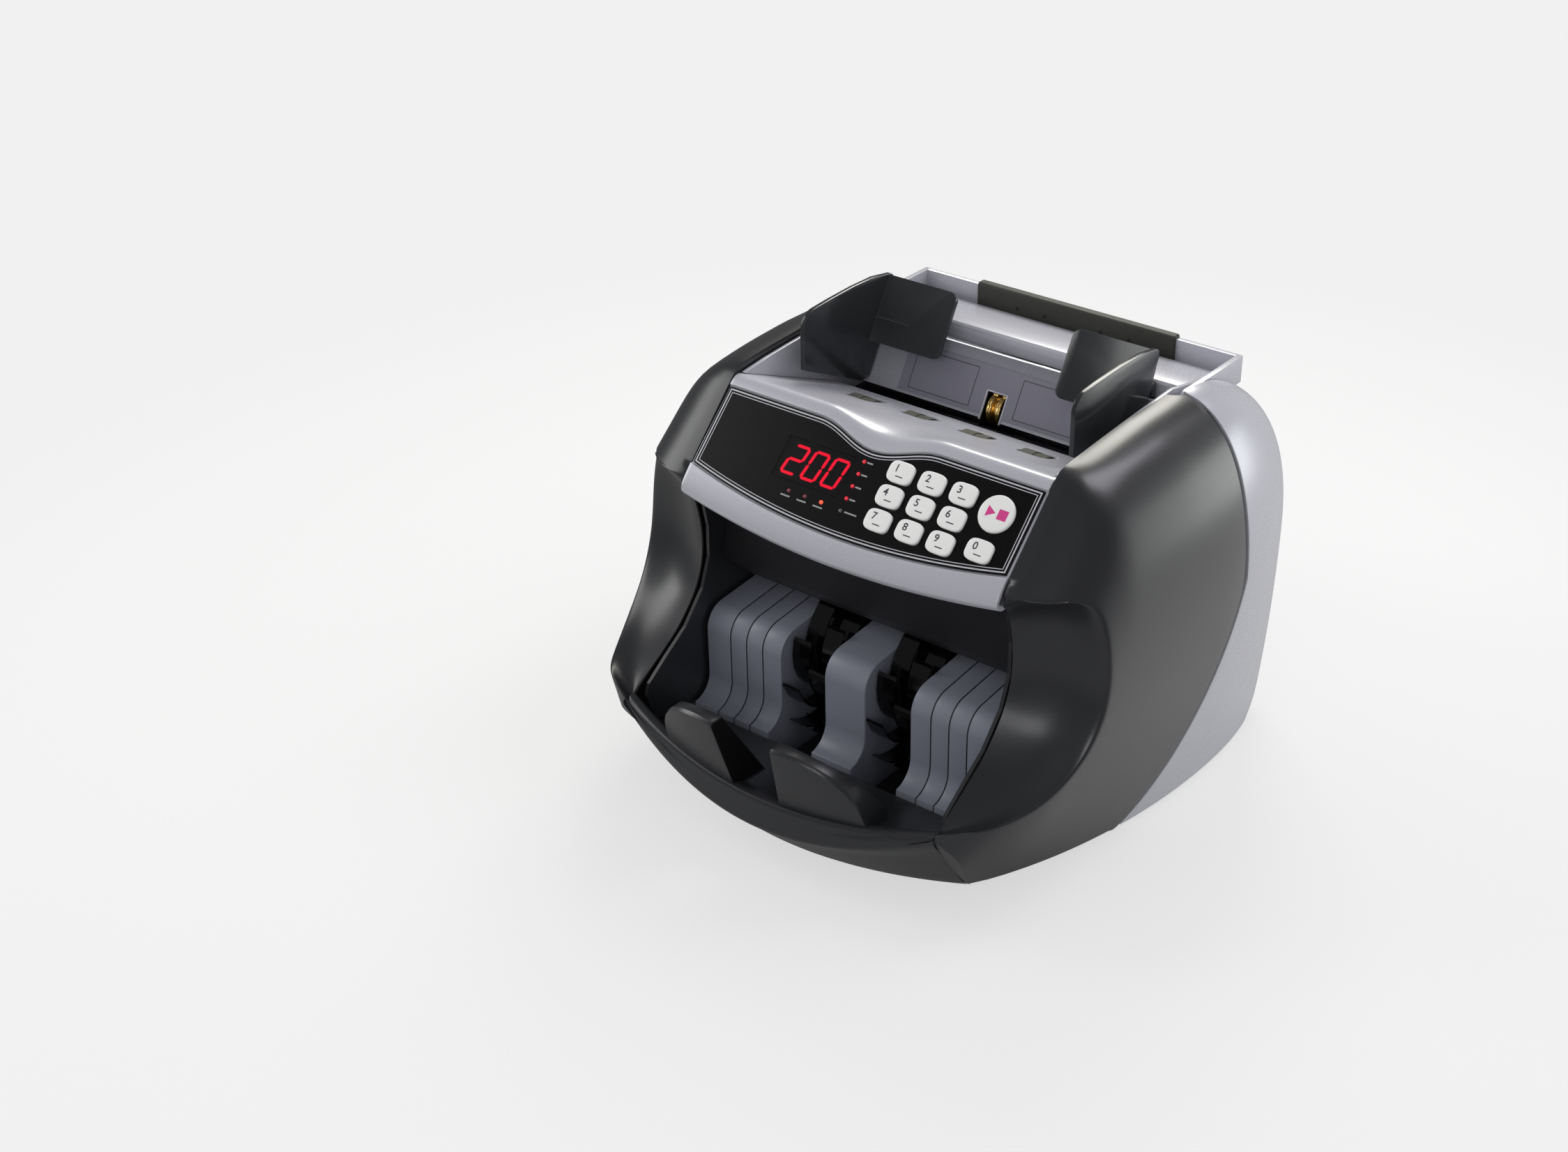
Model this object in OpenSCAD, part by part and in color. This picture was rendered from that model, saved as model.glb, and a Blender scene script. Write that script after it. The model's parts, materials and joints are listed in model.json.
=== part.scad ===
/* Banknote counting machine, bench-top model.
   X runs across the machine, the front is at -Y, Z is up and the table is z = 0. */

/* [Body] */
// Greatest width over both side covers
body_w = 296; // [276:1:310]
// Width between the side covers, over the panel and hopper
deck_w = 196; // [190:1:204]
// Height at which the side covers bulge most
widest_z = 108; // [98:1:116]
// Distance behind the origin at which the body is widest
widest_y = 39; // [30:1:46]
// Length over which the bulge dies away to the front
front_fall = 308; // [296:1:330]
// Length over which the bulge dies away to the rear
rear_fall = 126; // [125:1:132]
// Half-width of the footprint where it is widest
base_half = 138; // [132:1:141]
// Length over which the footprint narrows to the front
base_fall = 232; // [228:1:245]
// Wall thickness of the moulded covers
shell_wall = 2.6; // [2:0.1:3.2]
// Gap left between neighbouring covers
seam_gap = 0.8; // [0.5:0.1:1.2]
// Height of the cover edges above the table
floor_gap = 2; // [1.5:0.1:2.6]

/* [Rear shell] */
// Radius of the rear shell in side view
rear_r = 99.4; // [97:0.2:102]
// Y of the rear shell's centre
rear_y = 64; // [62:0.5:66]
// Z of the rear shell's centre
rear_z = 110; // [108:0.5:112]

/* [Control panel] */
// Y of the upper edge of the sloping panel
panel_y = -50.5; // [-52:0.5:-49]
// Z of the upper edge of the sloping panel
panel_z = 196.8; // [195:0.2:198]
// Slope of the panel from the horizontal
panel_tilt = 44.5; // [43:0.5:46]
// Length of the black overlay down the slope, at the middle
overlay_len = 54.3; // [52:0.1:56]
// Thickness of the overlay
overlay_t = 1.2; // [0.8:0.1:1.6]
// Depth of the bezel band below the overlay
bezel_band = 13.6; // [11:0.2:15]
// Depth of the finger scoop in the middle of the top edge
scoop_depth = 7.6; // [5:0.2:9]
// Half-width of the finger scoop
scoop_half = 37; // [30:1:42]

/* [Keys] */
// Width of a number key
key_w = 14.6; // [12:0.2:15.4]
// Length of a number key down the slope
key_l = 11.4; // [9:0.2:11.8]
// Key pitch across the panel
key_pitch_x = 18.5; // [17.8:0.1:18.8]
// Key pitch down the slope
key_pitch_s = 13; // [12.4:0.1:13.4]
// X of the left key column
key_x = 20.2; // [19:0.2:21]
// Distance of the top key row from the panel's upper edge
key_s = 13.3; // [12.5:0.1:14]
// Radius of the start key
start_r = 9.6; // [8:0.2:9.9]
// Height of the key caps above the overlay
key_proud = 1.6; // [1:0.1:2.2]
// Key travel
key_travel = 0.8; // [0.4:0.1:1]

/* [Hopper] */
// Slope of the hopper floor, down to the rear
deck_tilt = 22.9; // [21:0.1:24]
// Thickness of the hopper floor
deck_t = 2.6; // [2:0.1:3]
// Gap through which the notes are fed
feed_gap = 9.5; // [8:0.5:11]
// Length of the back wall up its slope
wall_len = 39; // [36:0.5:41]
// Lean of the back wall from the vertical
wall_lean = 30; // [28:0.5:32]
// Thickness of the back wall
wall_t = 2.6; // [2:0.1:3.2]

/* [Hopper guides] */
// Plate thickness of the guides
guide_t = 2.4; // [1.8:0.1:3]
// X of the guides' side plates at rest
guide_x = 82; // [76:0.5:84]
// Length of the guides' rear plates
guide_rear_len = 46; // [38:1:48]
// Height of the guides above the rim of the back wall
guide_rise = 30; // [24:1:32]
// Radius of the rail on which the guides slide
rail_r = 2.5; // [2:0.1:3]

/* [Rollers] */
// Radius of the pick-up rollers
pickup_r = 12; // [10:0.2:12.6]
// Height of the pick-up rollers above the hopper floor
pickup_proud = 1.1; // [0.8:0.1:1.5]
// Spacing of the pick-up rollers
pickup_pitch = 36; // [36:0.5:38]
// Width of a pick-up roller
pickup_w = 15; // [12:0.5:18]
// Radius of the feed rollers
feed_r = 19; // [17:0.2:19.2]
// Radius of the separator rollers
separator_r = 9; // [7:0.2:10]
// Radius of the transport rollers
transport_r = 13; // [11:0.2:13.6]
// Radius of every shaft
shaft_r = 4; // [3:0.1:4.6]
// Running clearance of the shafts in their bushes
run_gap = 0.05; // [0.03:0.01:0.08]

/* [Stacker] */
// Radius of the stacker wheels
wheel_r = 41; // [36:0.5:42]
// Width of a stacker wheel
wheel_w = 26; // [20:0.5:27]
// Number of blades round a wheel
blades = 10; // [8:1:12]
// Thickness of a blade
blade_t = 1.3; // [1:0.1:1.8]
// Half-width of the middle stacker guide
mid_half = 13; // [11:0.5:14]
// Bend radius on the front of the stacker guides
guide_bend_r = 13; // [9:0.5:16]

/* [Note tray] */
// Reach of the tray lip in front of the origin
tray_reach = 157; // [150:0.5:160]
// Height of the note stops above the tray lip
stop_h = 40; // [32:0.5:42]
// Half-width of the finger gap between the note stops
stop_gap = 14.5; // [11:0.5:18]
// Width of a note stop at its foot
stop_w = 48; // [40:1:54]

/* [Handle] */
// Thickness of the folding handle
handle_t = 3; // [2:0.2:3.4]
// Depth of the handle's cross bar
handle_h = 15; // [12:0.5:16]
// Y of the handle's pivot
handle_y = 72; // [71:0.5:74]
// Z of the handle's pivot
handle_z = 199; // [197:0.5:200]
// Reach of the handle behind its pivot
handle_reach = 54; // [50:0.5:55]
// Length of the soft grip
grip_len = 127; // [100:1:140]
// Thickness of the soft grip over the bar
grip_t = 1.8; // [1:0.1:2.4]

/* [Base and drive] */
// Thickness of the base plate
base_t = 3; // [2:0.2:3.4]
// Radius of a foot
foot_r = 9; // [6:0.5:11]
// Height of a foot
foot_h = 3.4; // [3:0.1:4]
// Thickness of the side frames
frame_t = 2; // [1.5:0.1:2.4]
// Radius of the motor
motor_r = 19; // [16:0.5:22]
// Length of the motor
motor_len = 62; // [50:1:70]
// Width of the drive belts
belt_w = 6; // [4:0.5:7]
// Radius of the direct-current inlet's socket
inlet_r = 2.8; // [2:0.1:3.2]

/* [Hidden] */
$fn = 48;

charcoal = [0.27, 0.28, 0.29];
silver = [0.72, 0.72, 0.77];
slate = [0.42, 0.43, 0.49];
black = [0.07, 0.07, 0.08];
smoke = [0.16, 0.17, 0.18];
offwhite = [0.88, 0.88, 0.86];
steel = [0.66, 0.67, 0.69];
rubber = [0.2, 0.2, 0.17];

half_deck = deck_w / 2;
bulge = body_w / 2 - half_deck;

// ---- small helpers -------------------------------------------------------------------------
function mix(a, b, t) = a + (b - a) * t;
function clamp01(t) = max(0, min(1, t));
function root(t) = sqrt(max(0, t));
function unit(v) = v / max(norm(v), 0.000001);
function frac(i, n) = i / (n - 1);
// Point at parameter t on a smooth curve through a list of points
function along(pts, t) =
    let (n = len(pts) - 1, k = min(n - 1, floor(t * n)), u = t * n - k,
         a = pts[max(0, k - 1)], b = pts[k], c = pts[k + 1], d = pts[min(n, k + 2)])
    0.5 * (2 * b + (c - a) * u + (2 * a - 5 * b + 4 * c - d) * u * u
        + (3 * b - a - 3 * c + d) * u * u * u);
// Points of an arc in the plane, from angle a0 to a1
function arc(c, r, a0, a1, n = 10) =
    [for (i = [0 : n]) let (a = mix(a0, a1, i / n)) [c[0] + r * cos(a), c[1] + r * sin(a)]];
// A belt round two pulleys, as a closed outline
function belt_line(c1, r1, c2, r2) =
    let (d = c2 - c1, l = norm(d), a = atan2(d[1], d[0]), b = acos((r1 - r2) / l))
    concat(arc(c1, r1, a + b, a + 360 - b, 20), arc(c2, r2, a - b, a + b, 16));

// Draws a (y, z) outline as a plate from x = x0 to x = x0 + w
module plate_x(pts, x0, w) {
    translate([x0, 0, 0])
        rotate([90, 0, 90])
            linear_extrude(w)
                polygon(pts);
}

// A cylinder along X
module rod_x(x0, x1, y, z, r, fn = 48) {
    translate([x0, y, z])
        rotate([0, 90, 0])
            cylinder(h = x1 - x0, r = r, $fn = fn);
}

// A ring along X
module tube_x(x0, x1, y, z, r_out, r_in) {
    translate([x0, y, z])
        rotate([0, 90, 0])
            difference() {
                cylinder(h = x1 - x0, r = r_out);
                translate([0, 0, -1])
                    cylinder(h = x1 - x0 + 2, r = r_in);
            }
}

// A rectangle with round corners
module round_rect(w, h, r) {
    square([w - 2 * r, h], center = true);
    square([w, h - 2 * r], center = true);
    for (sx = [-1, 1])
        for (sy = [-1, 1])
            translate([sx * (w / 2 - r), sy * (h / 2 - r)])
                circle(r, $fn = 24);
}

// Closed wall of thickness t behind a grid of points; flip turns the wall to the other side,
// and ends_in keeps it from growing sideways past the grid; rows listed in thin get less wall
function grid_normal(g, i, j) =
    let (n = len(g) - 1, m = len(g[0]) - 1, k = max(1, min(n - 1, i)),
         du = g[k + 1][j] - g[k - 1][j],
         dv = g[k][min(m, j + 1)] - g[k][max(0, j - 1)])
    unit(cross(du, dv));

module grid_wall(g, t, flip = false, ends_in = false, thin = []) {
    n = len(g);
    m = len(g[0]);
    s = flip ? -1 : 1;
    outer = [for (i = [0 : n - 1]) for (j = [0 : m - 1]) g[i][j]];
    reach = max([for (p = outer) abs(p[0])]);
    inner = [for (i = [0 : n - 1]) for (j = [0 : m - 1])
        let (p = g[i][j], w = len(search(i, thin)) > 0 ? 0.4 * t : t,
             q = p - s * w * grid_normal(g, i, j), lim = ends_in ? abs(p[0]) : reach)
        [sign(q[0]) * min(abs(q[0]), lim), q[1], q[2]]];
    o = n * m;
    skin = [for (i = [0 : n - 2]) for (j = [0 : m - 2]) let (a = i * m + j, b = a + m)
        each [[a, a + 1, b + 1], [a, b + 1, b]]];
    back = [for (i = [0 : n - 2]) for (j = [0 : m - 2]) let (a = o + i * m + j, b = a + m)
        each [[a, b + 1, a + 1], [a, b, b + 1]]];
    ends = [for (j = [0 : m - 2]) for (a = [j]) let (b = o - m + j)
        each [[a, a + o, a + o + 1], [a, a + o + 1, a + 1],
              [b, b + o + 1, b + o], [b, b + 1, b + o + 1]]];
    sides = [for (i = [0 : n - 2]) let (a = i * m, b = a + m, c = a + m - 1, d = c + m)
        each [[a, b, b + o], [a, b + o, a + o], [c, c + o, d + o], [c, d + o, d]]];
    faces = concat(skin, back, ends, sides);
    polyhedron(concat(outer, inner), flip ? [for (f = faces) [f[0], f[2], f[1]]] : faces);
}

// ---- form of the body ----------------------------------------------------------------------
panel_run = cos(panel_tilt);
panel_drop = sin(panel_tilt);
// Point of the panel at distance s down its slope and height h above it, as (y, z)
function on_panel(s, h = 0) =
    [panel_y - s * panel_run - h * panel_drop, panel_z - s * panel_drop + h * panel_run];

ridge_s = -9.4;
ridge = on_panel(ridge_s);
crown_z = rear_z + rear_r;
crown_rise = 7;
// Height of the inner top edge of the side covers at y
function crown(y) =
    y > rear_y ? rear_z + root(rear_r * rear_r - pow(y - rear_y, 2))
    : y > ridge[0] ? crown_z - crown_rise + crown_rise * root((y - ridge[0]) / (rear_y - ridge[0]))
    : min(crown_z - crown_rise, panel_z + (y - panel_y) * panel_drop / panel_run);

toe_from = -90;
toe_to = -140;
toe_y = toe_to - toe_from;
// The bulge fades and turns in sharply at the front toe
function toe(y) =
    let (s = clamp01((y - toe_from) / toe_y))
    (1 - 0.35 * s * s) * (1 - pow(s, 12));

function mid_w(y) =
    half_deck + bulge * root(1 - pow((y - widest_y) / (y > widest_y ? rear_fall : front_fall), 2));
function base_w(y) =
    y > rear_y ? half_deck + (base_half - half_deck) * root(1 - pow((y - rear_y) / rear_r, 2))
    : base_half * root(1 - pow((y - rear_y) / base_fall, 2));
// Lower edge of the rear shell in side view
function low_z(y) =
    y > rear_y ? widest_z - widest_z * root(1 - pow((y - rear_y) / rear_r, 4)) : 0;

shoulder = 2.3;
// Half-width of the body skin at (y, z)
function skin_x(y, z) =
    let (w = mid_w(y), top = max(crown(y), widest_z + 1),
         t = clamp01((z - widest_z) / (top - widest_z)),
         l = clamp01((widest_z - z) / max(widest_z - low_z(y), 1)),
         b = base_w(y),
         x = z > widest_z ? half_deck + (w - half_deck) * pow(1 - pow(t, shoulder), 1 / shoulder)
             : b + (w - b) * (1 - l * l))
    half_deck + (x - half_deck) * toe(y);

seam_top_y = 61;
seam_run = 86;
seam_bend_z = 122;
seam_bend_power = 1.35;
// The seam between side cover and rear cover: Y at height z
function seam_y(z) =
    seam_top_y + 3 - seam_run * pow(clamp01(1 - z / seam_bend_z), seam_bend_power);

// ---- side covers ---------------------------------------------------------------------------
panel_end_s = 52;
// Front edge of the side cover as (y, z), from under the panel's corner round the note pocket
pocket_rim = [on_panel(panel_end_s), [-77, 161.2], [-67.3, 156.5], [-65, 138], [-66, 108], [-78, 84],
    [-97, 69], [-117, 61], [-136, 58], [-140, 51]];
// Inner lip of the note pocket, at the side of the deck
pocket_lip = [[-86.2, 154], [-82.4, 148.6], [-79.4, 141], [-76.5, 126], [-77, 109],
    [-83, 93], [-97, 77], [-113, 66], [-128, 57], [-138.6, 49.4]];
toe_tip = [-106.4, floor_gap + 1.4];

side_rows = 33;
side_cols = 11;
scoop_cols = 4;
top_rows = 9;
rim_rows = 17;
toe_rows = side_rows - top_rows - rim_rows;

top_line = [for (i = [0 : top_rows - 1]) let (t = frac(i, top_rows))
    t < 0.75 ? let (y = mix(seam_top_y - 6, ridge[0], t / 0.75)) [y, crown(y)]
    : on_panel(mix(0, panel_end_s - 6, (t - 0.75) / 0.25))];
rim_line = [for (i = [0 : rim_rows - 1]) along(pocket_rim, frac(i, rim_rows))];
lip_line = [for (i = [0 : rim_rows - 1]) along(pocket_lip, frac(i, rim_rows))];
toe_line = [for (i = [1 : toe_rows]) mix([toe_to, 51], toe_tip, i / toe_rows)];
front_line = concat(top_line, rim_line, toe_line);
// Depth of the flange behind the rim, row by row
flange = 6;
inner_line = concat([for (p = top_line) p - [0, flange]], lip_line, toe_line);

seam_low_y = seam_y(floor_gap);
seam_rows = 21;
seam_share = 0.17;
function seam_pt(t) =
    let (z = mix(crown_z - 0.6, floor_gap, t)) [min(seam_y(z), seam_top_y + 3 * t), z];
seam_line = [for (i = [0 : side_rows - 1])
    i < top_rows ? seam_pt(seam_share * i / top_rows)
    : i < seam_rows ? seam_pt(mix(seam_share, 1, (i - top_rows) / (seam_rows - 1 - top_rows)))
    : [mix(seam_low_y, toe_tip[0] + 10, (i - seam_rows + 1) / (side_rows - seam_rows)), floor_gap]];

toe_lean = 4.4;
toe_top = 51;
// X of the tray's ends at height z, drawn in towards the table
function toe_side(z) = half_deck - toe_lean * clamp01(1 - z / toe_top);

// One row of the side cover: from the seam over the skin to the rim, then into the pocket
function side_row(i) =
    let (a = seam_line[i], b = front_line[i], c = inner_line[i],
         nb = front_line[min(side_rows - 1, i + 1)] - front_line[max(0, i - 1)],
         dir = unit(nb), k = (i - top_rows) / (rim_rows - 1),
         sag = k < 0 || k > 1 ? 0 : min(5, 0.4 * norm(c - b)) * clamp01(5 * k - 0.4),
         xb = max(half_deck, skin_x(b[0], b[1])))
    concat(
        [for (j = [0 : side_cols]) let (t = j / side_cols, q = mix(a, b, 1 - pow(1 - t, 1.6)))
            [skin_x(q[0], q[1]), q[0], q[1]]],
        [for (j = [1 : scoop_cols]) let (t = j / scoop_cols, q = mix(b, c, t),
            s = 4 * t * (1 - t) * sag, w = toe_side(b[1]))
            [mix(xb, w, t), q[0] - dir[1] * s, q[1] + dir[0] * s]]);

side_grid = [for (i = [0 : side_rows - 1]) side_row(i)];

pinched_rows = [top_rows - 1, top_rows, top_rows + 1, top_rows + rim_rows - 1];

module side_cover(side) {
    color(charcoal)
        mirror([side < 0 ? 1 : 0, 0, 0])
            grid_wall(side_grid, shell_wall, true, thin = pinched_rows);
}

// ---- rear cover ----------------------------------------------------------------------------
rear_rows = 25;
rear_cols = 8;
// Outline of the rear shell in side view, from the top round the back to the bottom edge
function rear_profile(t) =
    t < 0.5 ? let (a = 90 * (1 - 2 * t)) [rear_y + rear_r * cos(a), rear_z + rear_r * sin(a)]
    : let (z = mix(widest_z, floor_gap, 2 * t - 1), l = (widest_z - z) / widest_z)
        [rear_y + rear_r * pow(1 - l * l, 0.25), z];
function rear_row(t) =
    let (o = rear_profile(t), s = seam_pt(t) + [seam_gap + 0.6 * pow(1 - t, 4), 0],
         half = [for (j = [0 : rear_cols]) let (q = mix(o, s, pow(j / rear_cols, 1.7)))
            [skin_x(q[0], q[1]), q[0], q[1]]])
    concat([for (j = [rear_cols : -1 : 0]) [-half[j][0], half[j][1], half[j][2]]], half);
rear_grid = [for (i = [0 : rear_rows - 1]) rear_row(frac(i, rear_rows))];

notch_half = half_deck + 1.2 + handle_t + 1;
notch_back = handle_y + handle_reach + 3;
io_w = 58;
io_h = 25;
io_z = 44;
io_x = -40;
io_tilt = 21;
io_y = rear_profile(0.5 + 0.5 * (widest_z - io_z) / (widest_z - floor_gap))[0];
module at_io() {
    translate([io_x, io_y, io_z])
        rotate([90 + io_tilt, 0, 180])
            children();
}

module rear_cover() {
    color(silver)
        difference() {
            grid_wall(rear_grid, shell_wall, true);
            translate([-notch_half, seam_top_y - 20, rear_z + 66])
                cube([2 * notch_half, notch_back - seam_top_y + 20, 60]);
            at_io()
                translate([-io_w / 2, -io_h / 2, -12])
                    cube([io_w, io_h, 24]);
        }
}

// ---- base ----------------------------------------------------------------------------------
base_z = floor_gap + 1;
base_inset = shell_wall + 3.2;
base_front = -100;
base_back = 103;
base_bow = 24;
base_line = concat(
    [for (i = [0 : 8]) let (u = i / 8, w = base_w(base_front) - base_inset - 2)
        [w * u, base_front - base_bow * (1 - u * u)]],
    [for (i = [1 : 14]) let (y = mix(base_front, base_back, i / 14))
        [min(base_w(y) - base_inset, half_deck + 26), y]]);
foot_spots = [[86, -84], [108, 62]];

module base_plate() {
    color(charcoal)
        translate([0, 0, base_z])
            linear_extrude(base_t)
                polygon(concat(base_line,
                    [for (i = [len(base_line) - 1 : -1 : 1]) [-base_line[i][0], base_line[i][1]]]));
}

module feet() {
    color(rubber)
        for (s = [-1, 1])
            for (p = foot_spots)
                translate([s * p[0], p[1], 0])
                    cylinder(h = base_z, r1 = foot_r - 1, r2 = foot_r);
}

screw_spots = [[60, -100], [100, 0], [70, 90]];
module base_screws() {
    color(steel)
        for (s = [-1, 1])
            for (p = screw_spots)
                translate([s * p[0], p[1], 0]) {
                    translate([0, 0, base_z - 1.6])
                        cylinder(h = 1.6, r = 3);
                }
}

// ---- control panel -------------------------------------------------------------------------
module at_panel() {
    translate([0, panel_y, panel_z])
        rotate([panel_tilt, 0, 0])
            children();
}
function bump(x) = abs(x) < scoop_half ? pow(cos(90 * x / scoop_half), 2) : 0;
bow = 11.7;
function overlay_low(x) = overlay_len - bow * pow(x / half_deck, 2);
function overlay_top(x) = -1 + (scoop_depth + 1) * bump(x);
function bezel_low(x) = overlay_len + bezel_band - 9 * pow(x / half_deck, 2);
function ridge_at(x) = on_panel(ridge_s + 6.8 * bump(x), 0.8);
deck_rise = tan(deck_tilt);
// Height of the hopper floor's plane at y
function deck_z(y) = ridge[1] - (y - ridge[0]) * deck_rise;
deck_end = 35.5;
housing_half = half_deck - 0.6;
bezel_lip = 1.2;
scoop_run = 34;

function housing_row(x) =
    let (b = bezel_low(x), o = overlay_low(x), t = overlay_top(x), r = ridge_at(x),
         dish = 6.8 * bump(x),
         yz = concat(
            [on_panel(b - 9, -12), on_panel(b - 4, -11), on_panel(b - 1, -8.4), on_panel(b, -5),
             on_panel(b - 0.8, -1.6), on_panel(b - 3, 0.8), on_panel(o + 1, bezel_lip),
             on_panel(o + 0.2, 0), on_panel(mix(o, t, 0.5), 0), on_panel(t - 0.2, 0),
             on_panel(t - 1, bezel_lip), mix(on_panel(t - 1, bezel_lip), r, 0.7), r],
            [for (k = [1 : 7]) let (y = mix(r[0], deck_end, pow(k / 7, 1.3)),
                f = pow(clamp01(1 - (y - r[0]) / scoop_run), 2))
                [y, deck_z(y) - dish * f]]))
    [for (q = yz) [x, q[0], q[1]]];
housing_rows = 25;
housing_grid = [for (i = [0 : housing_rows - 1])
    housing_row(housing_half * (2 * i / (housing_rows - 1) - 1))];

// Openings behind the overlay, as [x0, x1, s0, s1]
display_x = [-51, 12];
keys_right = 78 + start_r + 2;
panel_cuts = [[display_x[0], display_x[1], 10.5, 44], [display_x[1] - 1, keys_right, 5.6, 43],
    [display_x[1] - 1, key_x + 2 * key_pitch_x + key_w / 2 + 2, 42,
        key_s + 2 * key_pitch_s + key_l / 2 + 1]];
pickup_y = 8;
deck_along = (pickup_y - ridge[0]) / cos(deck_tilt);
pickup_xs = [-1.5, -0.5, 0.5, 1.5];

module at_deck() {
    translate([0, ridge[0], ridge[1]])
        rotate([-deck_tilt, 0, 0])
            children();
}

slot_l = 2 * root(pickup_r * pickup_r - pow(pickup_r - pickup_proud - deck_t, 2)) + 2.4;
module panel_housing() {
    color(silver)
        difference() {
            grid_wall(housing_grid, deck_t, ends_in = true);
            for (c = panel_cuts)
                at_panel()
                    translate([c[0], -c[3], -9])
                        cube([c[1] - c[0], c[3] - c[2], 18]);
            for (k = pickup_xs)
                at_deck()
                    translate([k * pickup_pitch, deck_along, -8])
                        linear_extrude(16)
                            square([pickup_w + 2.4, slot_l], center = true);
        }
}

window = [-49, -7.5, 13, 35.4];
fit_gap = 0.2;
led_r = 1.2;
led_x = -2.2;
led_spots = concat([for (k = [0 : 4]) [led_x, 13.8 + 6.75 * k]],
    [for (k = [0 : 2]) [-35 + 10.2 * k, 40.1]]);
start_at = [78, 17];
zero_at = [78, 36.4];
function key_at(n) = [key_x + key_pitch_x * ((n - 1) % 3), key_s + key_pitch_s * floor((n - 1) / 3)];

overlay_n = 33;
overlay_half = half_deck - 1.8;
overlay_line = concat(
    [for (i = [0 : overlay_n - 1]) let (x = overlay_half * (2 * i / (overlay_n - 1) - 1))
        [x, -overlay_top(x) - fit_gap]],
    [for (i = [overlay_n - 1 : -1 : 0]) let (x = overlay_half * (2 * i / (overlay_n - 1) - 1))
        [x, -overlay_low(x) + fit_gap]]);

module panel_overlay() {
    color(black)
        at_panel()
            linear_extrude(overlay_t)
                difference() {
                    polygon(overlay_line);
                    translate([window[0], -window[3]])
                        square([window[1] - window[0], window[3] - window[2]]);
                    for (n = [1 : 9])
                        translate([key_at(n)[0], -key_at(n)[1]])
                            round_rect(key_w + 2 * fit_gap, key_l + 2 * fit_gap, 3.2 + fit_gap);
                    translate([zero_at[0], -zero_at[1]])
                        round_rect(key_w + 2 * fit_gap, key_l + 2 * fit_gap, 3.2 + fit_gap);
                    translate([start_at[0], -start_at[1]])
                        circle(start_r + fit_gap);
                    for (p = led_spots)
                        translate([p[0], -p[1]])
                            circle(led_r + 0.1, $fn = 24);
                }
}

module display_window() {
    color([0.16, 0.02, 0.03])
        at_panel()
            translate([window[0] + 0.1, -window[3] + 0.1, overlay_t - 0.9])
                linear_extrude(0.9)
                    square([window[1] - window[0] - 0.2, window[3] - window[2] - 0.2]);
}

// Seven-segment digits: which of the segments a to g are lit in a 2 and in a 0
seg_two = [1, 1, 0, 1, 1, 0, 1];
seg_zero = [1, 1, 1, 1, 1, 1, 0];
digit_h = 16.4;
digit_w = 9;
digit_pitch = 12.5;
digit_x = -40.4;
digit_s = 24.1;
slant = 10;
seg_t = 1.9;
pcb_h = 8;
pcb_t = 1.6;
digit_top = 0.1;

module segment(k) {
    w = digit_w / 2;
    h = digit_h / 2;
    l = k == 0 || k == 3 || k == 6 ? digit_w - 1.4 : h - 1.2;
    spot = [[0, h], [w, h / 2], [w, -h / 2], [0, -h], [-w, -h / 2], [-w, h / 2], [0, 0]][k];
    turn = [0, 90, 90, 0, 90, 90, 0][k];
    translate([spot[0] + spot[1] * tan(slant), spot[1]])
        rotate(turn - (turn > 0 ? slant : 0))
            polygon([[-l / 2, 0], [-l / 2 + seg_t / 2, seg_t / 2], [l / 2 - seg_t / 2, seg_t / 2],
                [l / 2, 0], [l / 2 - seg_t / 2, -seg_t / 2], [-l / 2 + seg_t / 2, -seg_t / 2]]);
}

module display_module() {
    at_panel() {
        color(black)
            translate([window[0] + 2, -window[3] + 1, -pcb_h])
                cube([window[1] - window[0] - 4, window[3] - window[2] - 2, pcb_h - 0.3]);
        color([0.9, 0.08, 0.15])
            for (d = [0 : 2])
                translate([digit_x + d * digit_pitch, -digit_s, -0.3])
                    linear_extrude(0.3 + digit_top)
                        for (k = [0 : 6])
                            if ((d == 0 ? seg_two : seg_zero)[k] > 0)
                                segment(k);
    }
}

module status_leds() {
    color([0.8, 0.1, 0.12])
        at_panel()
            for (p = led_spots)
                translate([p[0], -p[1], -pcb_h])
                    cylinder(h = pcb_h + overlay_t + 0.2, r = led_r, $fn = 24);
}

stem_low = 5;
module key_stem() {
    translate([0, 0, -stem_low])
        cylinder(h = stem_low - 1, r = 2);
}

module number_key(at) {
    color(offwhite)
        at_panel()
            translate([at[0], -at[1], 0]) {
                translate([0, 0, -1])
                    linear_extrude(1 + overlay_t + key_proud - 0.5)
                        round_rect(key_w, key_l, 3.2);
                translate([0, 0, overlay_t + key_proud - 0.5])
                    linear_extrude(0.5)
                        round_rect(key_w - 0.9, key_l - 0.9, 2.8);
                translate([0, 0, -1.9])
                    linear_extrude(1.8)
                        round_rect(key_w + 2.2, key_l - 0.6, 2);
                key_stem();
            }
}

module start_key() {
    color(offwhite)
        at_panel()
            translate([start_at[0], -start_at[1], 0]) {
                translate([0, 0, -1])
                    cylinder(h = 1 + overlay_t + key_proud - 0.6, r = start_r);
                translate([0, 0, overlay_t + key_proud - 0.6])
                    cylinder(h = 0.6, r1 = start_r, r2 = start_r - 0.8);
                translate([0, 0, -1.9])
                    cylinder(h = 1.8, r = start_r + 0.9);
                key_stem();
            }
}

module panel_pcb() {
    switch_h = pcb_h - stem_low - key_travel - 0.1;
    color([0.1, 0.35, 0.2])
        at_panel() {
            translate([display_x[0] + 1, -43, -pcb_h - pcb_t])
                cube([keys_right - display_x[0] - 2, 36, pcb_t]);
            for (p = concat([for (n = [1 : 9]) key_at(n)], [zero_at, start_at]))
                translate([p[0], -p[1], -pcb_h - 0.1])
                    cylinder(h = switch_h + 0.1, r = 3, $fn = 24);
        }
}

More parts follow.
